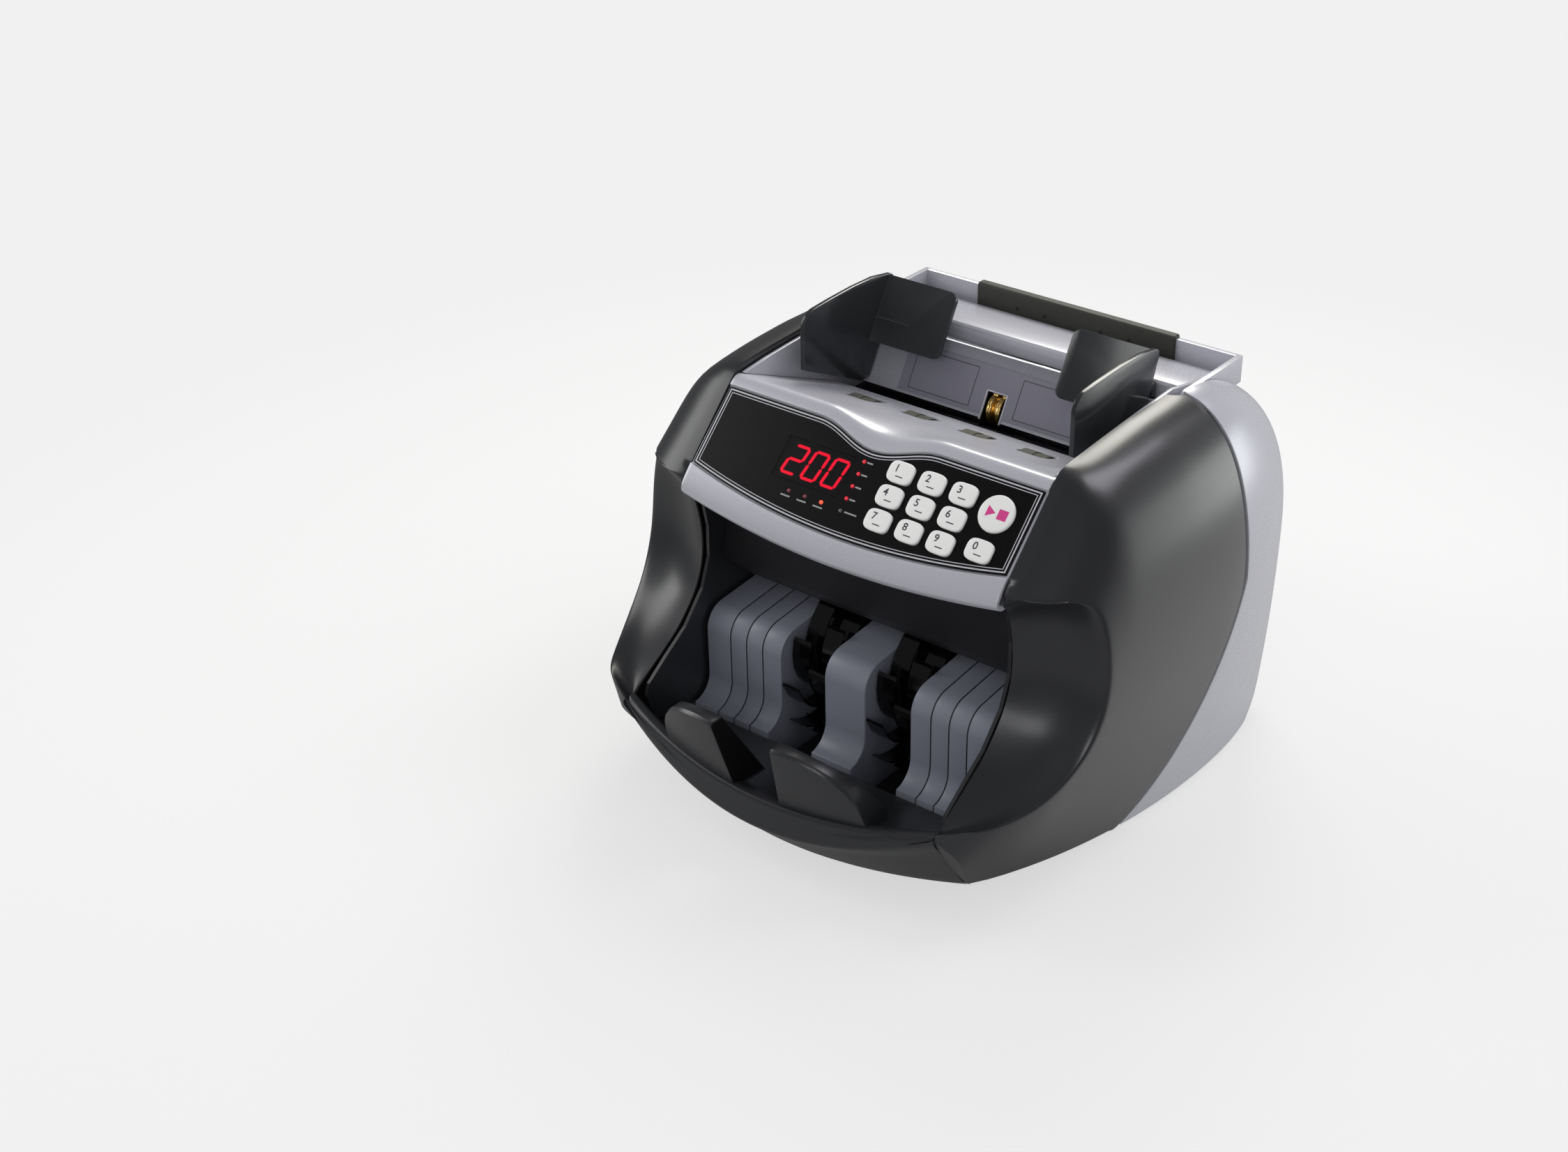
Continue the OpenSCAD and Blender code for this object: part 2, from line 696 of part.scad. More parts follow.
// ---- hopper --------------------------------------------------------------------------------
wall_foot = [deck_end + feed_gap, deck_z(deck_end) - 5];
wall_up = [sin(wall_lean), cos(wall_lean)];
wall_back = [cos(wall_lean), -sin(wall_lean)];
wall_low = wall_foot + 4.4 * wall_up;
rim = wall_foot + wall_len * wall_up;
rim_t = 3.4;
rail_at = [rim[0] + 6.4, rim[1] - 6.8];
slot_back = rail_at[0] + 4.6;
window_x = -2;
window_w = 12;
wheel_at = wall_foot + 11.5 * wall_up + 8.6 * wall_back;
adjust_r = 9;
ear_t = 3;
wall_half = half_deck - 3.4;

module at_wall() {
    translate([0, wall_foot[0], wall_foot[1]])
        rotate([90 - wall_lean, 0, 0])
            children();
}

module hopper_back_wall() {
    ear = [wall_foot + 5 * wall_up, wall_foot + 20 * wall_up, wheel_at + 5 * wall_up + 3 * wall_back,
        wheel_at - 5 * wall_up + 3 * wall_back];
    color(silver)
        difference() {
            union() {
                plate_x([wall_low, rim, rim + [rim_t, 0], rim + [rim_t, -3.4],
                    rim - 6 * wall_up + wall_t * wall_back, wall_low + wall_t * wall_back],
                    -wall_half, 2 * wall_half);
                for (x = [window_x - window_w / 2 - ear_t, window_x + window_w / 2])
                    plate_x(ear, x, ear_t);
            }
            at_wall()
                translate([window_x - window_w / 2, 4, -20])
                    cube([window_w, 15, 40]);
            rod_x(window_x - 20, window_x + 20, wheel_at[0], wheel_at[1], 2 + run_gap);
        }
}

label_t = 0.5;
module label_plate() {
    color([0.55, 0.55, 0.6])
        at_wall()
            difference() {
                translate([-63, 6, 0])
                    cube([126, 26.5, label_t]);
                translate([window_x - window_w / 2 - 1, 1, -1])
                    cube([window_w + 2, 19, 3]);
            }
}

module adjusting_wheel() {
    color([0.8, 0.62, 0.25]) {
        rod_x(window_x - window_w / 2 - ear_t, window_x + window_w / 2 + ear_t,
            wheel_at[0], wheel_at[1], 2);
        rod_x(window_x - 4.4, window_x - 1.2, wheel_at[0], wheel_at[1], adjust_r);
        rod_x(window_x - 2, window_x + 2, wheel_at[0], wheel_at[1], adjust_r - 2.2);
        rod_x(window_x + 1.2, window_x + 4.4, wheel_at[0], wheel_at[1], adjust_r);
    }
}

// Top line of the cover behind the hopper, from its front edge to the handle
top_end = handle_y + handle_reach - 4.2;
top_front = slot_back + 0.6;
function top_cover_z(y) = crown_z - 5.4 - 9 * pow(clamp01((y - top_front) / (top_end - top_front)), 1.7);
top_line_c = [for (i = [0 : 8]) let (y = mix(top_front + 1.5, top_end, i / 8)) [y, top_cover_z(y)]];
ledge_z = rear_z + 76.6;

module top_cover() {
    low = [for (i = [8 : -1 : 0]) top_line_c[i] + [i == 0 ? 1 : -shell_wall, -shell_wall]];
    color(silver)
        plate_x(concat([[top_front, rim[1] - 12], [top_front, top_cover_z(top_front) - 1.4]],
            top_line_c,
            [[top_end + 0.6, top_line_c[8][1] - 1], [top_end + 0.8, ledge_z],
             [notch_back - 0.5, ledge_z - 1.6], [notch_back - 0.5, ledge_z - 4.2],
             [top_end - 2, ledge_z - shell_wall]],
            low, [[top_front + shell_wall, rim[1] - 12]]),
            -wall_half, 2 * wall_half);
}

side_wall_t = 2.2;
module hopper_side_walls() {
    front = ridge[0] + 3;
    crown_pts = [for (i = [0 : 6]) let (y = mix(rear_y, front, i / 6)) [y, crown(y) - 0.8]];
    low_pts = [[front, deck_z(front) + 0.1], [deck_end, deck_z(deck_end) + 0.1],
        [deck_end + 1, wall_foot[1] - 4], [handle_y + 14, wall_foot[1] - 4],
        [top_end - 4, ledge_z - 8], [top_end, top_cover_z(top_end) + 0.4]];
    color(silver)
        for (s = [0, 1])
            mirror([s, 0, 0])
                difference() {
                    union() {
                        plate_x(concat(low_pts,
                            [[handle_y + 16, top_cover_z(handle_y + 16) + 0.5]], crown_pts),
                            half_deck - 3.2, side_wall_t);
                        rod_x(half_deck - 1.2, half_deck + 0.6 + handle_t, handle_y, handle_z, 3);
                    }
                    rod_x(half_deck - 5, half_deck - 1.4, rail_at[0], rail_at[1], rail_r + 0.02);
                }
}

module guide_rail() {
    color(steel)
        rod_x(-half_deck + 1.5, half_deck - 1.5, rail_at[0], rail_at[1], rail_r);
}

guide_front = -8.4;
guide_top = rim[1] + guide_rise;
guide_off = 10;
module hopper_guide(side) {
    plate = concat(
        arc([guide_front + 10, guide_top - 11.5], 10, 180, 98, 7),
        [[14, guide_top - 0.7], [34, guide_top], [52, guide_top - 0.3]],
        arc([rim[0] + 1.2, guide_top - 6.6], 4, 70, -20, 5),
        [[rim[0] - 2.4, rim[1] + 2.6], rim - 4 * wall_up - 1.6 * wall_back,
         wall_foot + 8 * wall_up - 1.6 * wall_back, [wall_foot[0] - 4, deck_z(wall_foot[0] - 4) + 4],
         [guide_front, deck_z(guide_front) + 7]]);
    rear_low = 26;
    rear_high = (guide_top - 4.2 - guide_off / 2 - wall_foot[1]) / wall_up[1];
    rear_h = rear_high - rear_low;
    foot_y = rail_at[0] - 2.2;
    color(smoke)
        mirror([side < 0 ? 1 : 0, 0, 0])
            difference() {
                union() {
                    plate_x(plate, guide_x, guide_t);
                    at_wall()
                        translate([guide_x - guide_rear_len + 0.6, rear_low, guide_off])
                            linear_extrude(guide_t) {
                                translate([guide_rear_len / 2, rear_h / 2])
                                    round_rect(guide_rear_len, rear_h, 5);
                                translate([guide_rear_len / 2, 0])
                                    square([guide_rear_len / 2, rear_h]);
                            }
                    translate([guide_x - 22, rim[0] - 10.6, rim[1] + 2.6])
                        cube([22, foot_y - rim[0] + 10.6 + 4.4, 4]);
                    translate([guide_x - 22, foot_y, rail_at[1] - rail_r - 2])
                        cube([22, 4.4, rim[1] + 6.6 - rail_at[1] + rail_r + 2]);
                    rod_x(guide_x - 22, guide_x, rail_at[0], rail_at[1], rail_r + 1.6);
                }
                rod_x(guide_x - 30, guide_x + 8, rail_at[0], rail_at[1], rail_r + run_gap);
            }
}

// ---- carrying handle -----------------------------------------------------------------------
arm_x = half_deck + 0.8;
bar_y = handle_y + handle_reach;
bar_low = ledge_z + 4;
module folding_handle() {
    arm = concat(arc([handle_y, handle_z], 7, 270, 90, 12),
        [[bar_y + handle_t / 2, bar_low + handle_h], [bar_y + handle_t / 2, bar_low],
         [bar_y - 8, bar_low]]);
    color(silver)
        difference() {
            union() {
                for (x = [-arm_x - handle_t, arm_x])
                    plate_x(arm, x, handle_t);
                translate([-arm_x - handle_t, bar_y - handle_t / 2, bar_low])
                    cube([2 * (arm_x + handle_t), handle_t, handle_h]);
            }
            rod_x(-arm_x - 9, arm_x + 9, handle_y, handle_z, 3 + run_gap);
        }
}

module handle_grip() {
    wall = handle_t / 2 + 0.05;
    color(rubber)
        translate([-grip_len / 2, bar_y, bar_low])
            difference() {
                translate([0, -wall - grip_t, -grip_t])
                    cube([grip_len, 2 * (wall + grip_t), handle_h + 2 * grip_t]);
                translate([-1, -wall, -0.05])
                    cube([grip_len + 2, 2 * wall, handle_h + 0.1]);
            }
}

// ---- frames and drive ----------------------------------------------------------------------
deck_normal = [sin(deck_tilt), cos(deck_tilt)];
pickup_at = [pickup_y, deck_z(pickup_y)] - (pickup_r - pickup_proud) * deck_normal;
feed_at = [22, 152];
separator_at = feed_at + [feed_r + separator_r + 0.6, -2];
transport_at = [-2.6, 114];
pinch_r = 9;
pinch_at = transport_at + (transport_r + pinch_r + 0.3) * [0.8, -0.6];
stacker_at = [-41, 50];
motor_at = [88, 42];
stacker_motor_at = [20, 34];
shaft_spots = [pickup_at, feed_at, transport_at, pinch_at, stacker_at];
frame_out = half_deck - 1.7;
frame_in = frame_out - frame_t;
bush_t = 1.6;
belt_x = [half_deck + 3, half_deck + 12, half_deck + 21];
pulley_gap = 0.3;
belt_t = 1.2;

frame_line = [[-86, base_z + base_t + 0.3], [-86, 27.6], [-110, 29.2], [-122.4, 33], [-126.2, 42],
    [-127.8, 50], [-125.6, 56], [-111.6, 65.8], [-95.6, 76.4], [-81, 93], [-74.8, 109.6],
    [-74.4, 127], [-77.4, 142], on_panel(40, -16), on_panel(2, -14), [-24, deck_z(-24) - 8],
    [deck_end - 6, deck_z(deck_end - 6) - 4.4], [deck_end - 1, wall_foot[1] - 6],
    [70, wall_foot[1] - 8], [105, 152], [128, 120], [128, 70], [112, 24],
    [98, base_z + base_t + 0.3]];

guard_t = 1.6;
guard_line = [[-57, 96], [-63, 104], [-61, 126], [-70, 146], [-74, 150]];
module pocket_guard() {
    color(black)
        plate_x(concat(guard_line, [for (i = [4 : -1 : 0]) guard_line[i] + [guard_t, 0.3]]),
            -frame_in + 0.02, 2 * frame_in - 0.04);
}

module side_frames() {
    color([0.2, 0.2, 0.22])
        for (s = [0, 1])
            mirror([s, 0, 0])
                difference() {
                    plate_x(frame_line, frame_in, frame_t);
                    for (p = shaft_spots)
                        rod_x(frame_in - 1, frame_out + 1, p[0], p[1], shaft_r + bush_t + 0.02);
                }
}

tie_spots = [[104, 136], [84, 148], [60, 30]];
module tie_bars() {
    color(steel)
        for (p = tie_spots)
            rod_x(-frame_in + 0.02, frame_in - 0.02, p[0], p[1], 4);
}

module shaft_bushes() {
    color([0.75, 0.6, 0.35])
        for (s = [0, 1])
            mirror([s, 0, 0])
                for (p = shaft_spots)
                    difference() {
                        union() {
                            rod_x(frame_in - 1.2, frame_out + 0.6, p[0], p[1], shaft_r + bush_t);
                            rod_x(frame_in - 1.2, frame_in - 0.02, p[0], p[1], shaft_r + bush_t + 1);
                        }
                        rod_x(frame_in - 2, frame_out + 2, p[0], p[1], shaft_r + run_gap);
                    }
}

feed_pulley_r = 18;
small_pulley_r = 9;
stacker_pulley_r = 24;
motor_pulley_r = 8;
shaft_left = -frame_out - 1.4;
module shaft(at, reach) {
    rod_x(shaft_left, reach, at[0], at[1], shaft_r);
}
module pulley(at, plane, r) {
    rod_x(belt_x[plane], belt_x[plane] + belt_w, at[0], at[1], r);
    rod_x(belt_x[plane] - 1, belt_x[plane], at[0], at[1], r + 1.8);
    rod_x(belt_x[plane] + belt_w, belt_x[plane] + belt_w + 1, at[0], at[1], r + 1.8);
}
function shaft_end(plane) = belt_x[plane] + belt_w + 2;

module pickup_shaft() {
    color(steel) {
        shaft(pickup_at, shaft_end(1));
        pulley(pickup_at, 1, small_pulley_r);
    }
}

module roller(x, at, r, w) {
    tube_x(x - w / 2, x + w / 2, at[0], at[1], r, shaft_r + 0.02);
}

module pickup_rollers() {
    for (k = pickup_xs) {
        x = k * pickup_pitch;
        color(rubber)
            roller(x - pickup_w / 4, pickup_at, pickup_r, pickup_w / 2);
        color(black)
            roller(x + pickup_w / 4, pickup_at, pickup_r - 0.4, pickup_w / 2);
    }
}

feed_xs = [-1, 0, 1];
feed_w = pickup_pitch - pickup_w - 4;
module feed_shaft() {
    color(steel) {
        shaft(feed_at, shaft_end(2));
        pulley(feed_at, 0, feed_pulley_r);
        pulley(feed_at, 1, small_pulley_r);
        pulley(feed_at, 2, small_pulley_r);
    }
}

module feed_rollers() {
    color(rubber)
        for (k = feed_xs)
            roller(k * pickup_pitch, feed_at, feed_r, feed_w);
}

module separator() {
    color([0.3, 0.3, 0.32])
        rod_x(-frame_in + 0.02, frame_in - 0.02, separator_at[0], separator_at[1], shaft_r);
    color(rubber)
        for (k = feed_xs)
            tube_x(k * pickup_pitch - feed_w / 2, k * pickup_pitch + feed_w / 2,
                separator_at[0], separator_at[1], separator_r, shaft_r);
}

module transport_shaft() {
    color(steel) {
        shaft(transport_at, shaft_end(2));
        pulley(transport_at, 2, small_pulley_r);
    }
    color(rubber)
        for (x = [-60, -20, 20, 60])
            roller(x, transport_at, transport_r, 16);
}

module pinch_shaft() {
    color(steel)
        shaft(pinch_at, frame_out + 1.4);
    color(rubber)
        for (x = [-60, -20, 20, 60])
            roller(x, pinch_at, pinch_r, 14);
}

module motor_body(at) {
    rod_x(frame_in - motor_len, frame_in - 0.02, at[0], at[1], motor_r);
}
module drive_motors() {
    color(steel) {
        motor_body(motor_at);
        motor_body(stacker_motor_at);
    }
}
module small_pulley(at) {
    color(steel) {
        rod_x(frame_out + 0.6, belt_x[0] + belt_w + 2, at[0], at[1], 2.5);
        pulley(at, 0, motor_pulley_r);
    }
}

module belt(plane, a, ra, b, rb) {
    g = pulley_gap;
    translate([belt_x[plane] + 0.3, 0, 0])
        rotate([90, 0, 90])
            linear_extrude(belt_w - 0.6)
                difference() {
                    polygon(belt_line(a, ra + g + belt_t, b, rb + g + belt_t));
                    polygon(belt_line(a, ra + g, b, rb + g));
                }
}

module drive_belts() {
    color(black) {
        belt(0, motor_at, motor_pulley_r, feed_at, feed_pulley_r);
        belt(1, feed_at, small_pulley_r, pickup_at, small_pulley_r);
        belt(2, feed_at, small_pulley_r, transport_at, small_pulley_r);
        belt(0, stacker_motor_at, motor_pulley_r, stacker_at, stacker_pulley_r);
    }
}

module main_pcb() {
    z = base_z + base_t;
    color([0.1, 0.35, 0.2])
        translate([-80, 30, z + 6])
            cube([90, 60, 1.6]);
    color(steel)
        for (x = [-76, 6])
            for (y = [34, 86])
                translate([x, y, z])
                    cylinder(h = 6, r = 3, $fn = 24);
    color(black)
        for (k = [0 : 3])
            translate([-72 + 20 * k, 50, z + 7.6])
                cube([12, 16, 3 + k]);
}

// ---- stacker -------------------------------------------------------------------------------
guide_face = stacker_at[0] - wheel_r;
guide_crown = 82.5;
guide_foot = -94;
side_in = mid_half + wheel_w + 3;
side_out = frame_in - 1.9;
// Outline of a stacker guide, drawn in by o along its front
function guide_line(o) =
    concat([[-14, 86 - o], [-46, guide_crown + 0.6 - o]],
        arc([guide_face + guide_bend_r + 1, guide_crown - guide_bend_r - 1.2], guide_bend_r - o,
            98, 180, 9),
        [[guide_face + 1 + o, 48]],
        arc([guide_foot, 42], guide_face - guide_foot + 1 + o, 0, -86, 8),
        [[guide_foot, 12], [guide_foot + 3, base_z + base_t], [-14, base_z + base_t]]);

grooves = [54, 65, 76];
groove_w = 0.7;
module side_guide(side) {
    cuts = concat([side_in], [for (g = grooves) each [g, g + groove_w]], [side_out]);
    color(slate)
        mirror([side < 0 ? 1 : 0, 0, 0])
            difference() {
                union() {
                    plate_x(guide_line(0.6), side_in + 1, side_out - side_in - 2);
                    for (k = [0 : len(cuts) / 2 - 1])
                        plate_x(guide_line(0), cuts[2 * k], cuts[2 * k + 1] - cuts[2 * k]);
                }
                rod_x(side_in - 5, side_out + 5, stacker_at[0], stacker_at[1], shaft_r + 1);
            }
}

module middle_stacker_guide() {
    color(slate)
        difference() {
            plate_x(guide_line(0), -mid_half, 2 * mid_half);
            rod_x(-mid_half - 5, mid_half + 5, stacker_at[0], stacker_at[1], shaft_r + 1);
        }
}

module stacker_shaft() {
    color(steel) {
        shaft(stacker_at, shaft_end(0));
        pulley(stacker_at, 0, stacker_pulley_r);
    }
}

blade_sweep = 78;
blade_steps = 8;
hub_r = 12;
function blade_pt(t, side) =
    let (r = mix(hub_r - 3, wheel_r, t), a = -blade_sweep * pow(t, 1.2),
         w = side * blade_t / (2 * r) * 57.3 * (1 + 0.5 * t))
    [r * cos(a + w), r * sin(a + w)];
blade_line = concat([for (i = [0 : blade_steps]) blade_pt(i / blade_steps, 1)],
    [for (i = [blade_steps : -1 : 0]) blade_pt(i / blade_steps, -1)]);

module stacker_wheel(side) {
    x0 = side > 0 ? mid_half + 1.5 : -mid_half - 1.5 - wheel_w;
    row = (wheel_w - 4) / 2;
    color(black)
        translate([x0, stacker_at[0], stacker_at[1]])
            rotate([90, 0, 90])
                difference() {
                    union() {
                        translate([0, 0, -0.4])
                            cylinder(h = wheel_w + 0.8, r = hub_r);
                        for (k = [0 : blades - 1])
                            for (j = [0, 1])
                                translate([0, 0, j * (row + 4)])
                                    rotate((k + j / 2) * 360 / blades)
                                        linear_extrude(row)
                                            polygon(blade_line);
                    }
                    translate([0, 0, -1])
                        cylinder(h = wheel_w + 2, r = shaft_r + 0.02);
                }
}

// ---- note tray -----------------------------------------------------------------------------
tray_rows = 25;
lip_low = 29;
lip_rise = 22;
tray_back = guide_foot - 0.4;
// Tray section at u = -1..1 across the machine
function tray_row(u) =
    let (c = [-tray_reach + 17 * u * u, lip_low + lip_rise * u * u],
         b = [-132.5 + 26.5 * u * u, floor_gap],
         band = 11 * (1 - u * u) + 0.6, top = c + [2.4, band],
         yz = [b + [5, 0], b, mix(b, c, 0.35) - [1, 0], mix(b, c, 0.7) - [1.2, 0], c - [0.4, 1.6],
            c + [0.1, 0.8], mix(c, top, 0.6), top, top + [2.4, 1.2], top + [6, 0.4],
            mix(top + [6, 0.4], [-126, 33], 0.5) - [0, 1.5], [-124, 31.5], [-110, 28], [-100, 26.4],
            [tray_back, 26.4]])
    [for (q = yz) [u * (toe_side(q[1]) - seam_gap - 0.6), q[0], q[1]]];
tray_grid = [for (i = [0 : tray_rows - 1]) tray_row(2 * i / (tray_rows - 1) - 1)];

stop_rows = 9;
module note_stop(side) {
    z0 = 41;
    top = z0 + stop_h;
    // Sections from the finger gap outwards: foot width t, front foot, front top, rear top, rear foot
    rows = [for (i = [0 : stop_rows - 1]) let (t = i / (stop_rows - 1), x = stop_gap + stop_w * t,
        h = stop_h * root(1 - pow(t, 2.4)) + 0.8,
        f = [-tray_reach + 17 * pow(x / half_deck, 2) + 5, z0 + 3 * t],
        lean = h * 0.28, slope = h * 0.66, thick = 24 - 6 * t)
        [[x + 0.10 * h, f[0] - lean, f[1] + h - 1.5], [x + 0.10 * h, f[0] - lean + 1.5, f[1] + h],
         [x + 0.10 * h, f[0] + thick - slope, f[1] + h], [x, f[0] + thick, f[1] - 4],
         [x, f[0], f[1] - 2]]];
    m = 5;
    n = stop_rows;
    sides = [for (i = [0 : n - 2]) for (j = [0 : m - 1]) let (a = i * m + j, b = i * m + (j + 1) % m)
        each [[a, b, b + m], [a, b + m, a + m]]];
    cap = [[for (j = [m - 1 : -1 : 0]) j], [for (j = [0 : m - 1]) (n - 1) * m + j]];
    mirror([side < 0 ? 1 : 0, 0, 0])
        polyhedron([for (r = rows) each r], concat(sides, cap));
}

module front_tray() {
    color(charcoal)
        union() {
            grid_wall(tray_grid, shell_wall, ends_in = true);
            note_stop(-1);
            note_stop(1);
        }
}

// ---- rear sockets --------------------------------------------------------------------------
socket_x = -16;
switch_x = 14;
io_t = 3;
module io_plate() {
    color(black)
        at_io()
            difference() {
                translate([-io_w / 2 + 0.2, -io_h / 2 + 0.2, -io_t])
                    cube([io_w - 0.4, io_h - 0.4, io_t]);
                translate([socket_x, 0, -io_t - 1])
                    cylinder(h = io_t + 2, r = inlet_r + 1.6);
                translate([switch_x - 7.2, -9.7, -io_t - 1])
                    cube([14.4, 19.4, io_t + 2]);
            }
}

module dc_inlet() {
    color(black)
        at_io()
            translate([socket_x, 0, -12])
                difference() {
                    union() {
                        cylinder(h = 12, r = inlet_r + 1.55);
                        translate([-6, -5, 0])
                            cube([12, 10, 12 - io_t - 0.05]);
                    }
                    translate([0, 0, 1.5])
                        cylinder(h = 12, r = inlet_r);
                }
}

module power_rocker() {
    color(black)
        at_io()
            translate([switch_x - 7, 0, -5])
                rotate([90, 0, 90])
                    linear_extrude(14)
                        polygon(concat([[-8.6, 3], [-8.6, 4.4]], [[-8.2, 5.6], [0, 4.6], [8.2, 7.2]],
                            [[8.6, 4.4], [8.6, 3], [0, 0]]));
}

base_plate();
feet();
base_screws();
side_cover(-1);  // left_side_cover
side_cover(1);  // right_side_cover
rear_cover();
io_plate();
power_rocker();
dc_inlet();
top_cover();
hopper_back_wall();
label_plate();
adjusting_wheel();
hopper_side_walls();
panel_housing();
panel_overlay();
display_window();
display_module();
status_leds();
number_key(key_at(1));  // key_1
number_key(key_at(2));  // key_2
number_key(key_at(3));  // key_3
number_key(key_at(4));  // key_4
number_key(key_at(5));  // key_5
number_key(key_at(6));  // key_6
number_key(key_at(7));  // key_7
number_key(key_at(8));  // key_8
number_key(key_at(9));  // key_9
number_key(zero_at);  // key_0
start_key();
panel_pcb();
side_frames();
pocket_guard();
tie_bars();
shaft_bushes();
front_tray();
side_guide(-1);  // left_stacker_guide
middle_stacker_guide();
side_guide(1);  // right_stacker_guide
stacker_shaft();
stacker_wheel(-1);  // left_stacker_wheel
stacker_wheel(1);  // right_stacker_wheel
small_pulley(stacker_motor_at);  // stacker_motor_pulley
pickup_shaft();
pickup_rollers();
feed_shaft();
feed_rollers();
separator();
transport_shaft();
pinch_shaft();
drive_motors();
small_pulley(motor_at);  // motor_pulley
drive_belts();
main_pcb();
hopper_guide(-1);  // left_hopper_guide
hopper_guide(1);  // right_hopper_guide
guide_rail();
folding_handle();
handle_grip();
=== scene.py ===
"""Banknote counting machine: the smooth mouldings, finishes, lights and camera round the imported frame.

Shapes are worked out in millimetres and become metres where a mesh is made. A form is a pair of points
and faces. The at_... functions turn points of a panel, wall, plate or wheel into points of the machine.
"""
import json
import math

import bmesh
import bpy
import numpy as np
from mathutils import Matrix, Vector


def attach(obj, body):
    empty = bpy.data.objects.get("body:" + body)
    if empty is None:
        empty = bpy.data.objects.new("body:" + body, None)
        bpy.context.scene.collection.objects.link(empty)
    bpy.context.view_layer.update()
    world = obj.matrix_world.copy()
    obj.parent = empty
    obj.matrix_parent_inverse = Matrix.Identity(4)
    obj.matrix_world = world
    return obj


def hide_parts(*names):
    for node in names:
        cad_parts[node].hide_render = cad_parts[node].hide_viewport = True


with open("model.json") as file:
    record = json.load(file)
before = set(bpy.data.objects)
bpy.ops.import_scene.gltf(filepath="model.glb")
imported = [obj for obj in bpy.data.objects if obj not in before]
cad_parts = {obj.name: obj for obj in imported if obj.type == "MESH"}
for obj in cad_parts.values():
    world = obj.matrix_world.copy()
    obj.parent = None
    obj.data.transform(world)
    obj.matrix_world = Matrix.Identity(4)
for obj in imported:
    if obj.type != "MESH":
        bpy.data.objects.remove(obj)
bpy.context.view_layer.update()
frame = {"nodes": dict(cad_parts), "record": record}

MM = 0.001
SIDES = (("right", 1), ("left", -1))
scene = bpy.context.scene


def added(name, data):
    """A new object in the scene."""
    made = bpy.data.objects.new(name, data)
    scene.collection.objects.link(made)
    return made


# ---- camera ----------------------------------------------------------------------------------
AZIMUTH, ELEVATION, ROLL = np.radians([36.8296, 30.0965, 0.1887])
CAMERA_AT = (0.56409, -0.79855, 0.65915)
SENSOR = 36.0
FRAME_PIXELS, LENS_PIXELS = 2249.0, 3053.54
SHIFT_PIXELS = (-147.54, 7.84)


def place_camera():
    """The camera's axes come from azimuth, elevation and roll; lens and shift from their pixel sizes."""
    ahead = np.array([-math.sin(AZIMUTH) * math.cos(ELEVATION),
                      math.cos(AZIMUTH) * math.cos(ELEVATION), -math.sin(ELEVATION)])
    level = np.array([math.cos(AZIMUTH), math.sin(AZIMUTH), 0.0])
    lift = np.cross(level, ahead)
    right = math.cos(ROLL) * level + math.sin(ROLL) * lift
    up = -math.sin(ROLL) * level + math.cos(ROLL) * lift
    data = bpy.data.cameras.new("camera")
    data.sensor_width = SENSOR
    data.lens = SENSOR * LENS_PIXELS / FRAME_PIXELS
    data.shift_x, data.shift_y = (shift / FRAME_PIXELS for shift in SHIFT_PIXELS)
    camera = added("camera", data)
    turn = Matrix(np.column_stack([right, up, -ahead]).tolist()).to_4x4()
    camera.matrix_world = Matrix.Translation(CAMERA_AT) @ turn
    scene.camera = camera


# ---- shader expressions ------------------------------------------------------------------------
class Value:
    """A shader socket that can stand in a sum; each operator adds one Math node."""

    def __init__(self, owner, socket):
        self.owner, self.socket = owner, socket

    def _math(self, kind, a, b):
        return self.owner.node("ShaderNodeMath", {"operation": kind}, {0: a, 1: b})

    def __add__(self, other):
        return self._math("ADD", self, other)

    def __radd__(self, other):
        return self._math("ADD", other, self)

    def __sub__(self, other):
        return self._math("SUBTRACT", self, other)

    def __rsub__(self, other):
        return self._math("SUBTRACT", other, self)

    def __mul__(self, other):
        return self._math("MULTIPLY", self, other)

    def __rmul__(self, other):
        return self._math("MULTIPLY", other, self)

    def __lt__(self, other):
        return self._math("LESS_THAN", self, other)

    def __abs__(self):
        return self._math("ABSOLUTE", self, 0.0)


class Nodes:
    """A node tree under construction: node() adds any node and gives one of its outputs."""

    def __init__(self, tree):
        self.tree = tree
        tree.nodes.clear()

    def node(self, kind, settings=None, inputs=None, out=0):
        """Adds a node: its settings first, then the values or links of its sockets."""
        made = self.tree.nodes.new(kind)
        for key, value in (settings or {}).items():
            setattr(made, key, value)
        for key, value in (inputs or {}).items():
            if isinstance(value, Value):
                self.tree.links.new(value.socket, made.inputs[key])
            else:
                made.inputs[key].default_value = value
        return Value(self, made.outputs[out]) if made.outputs else None


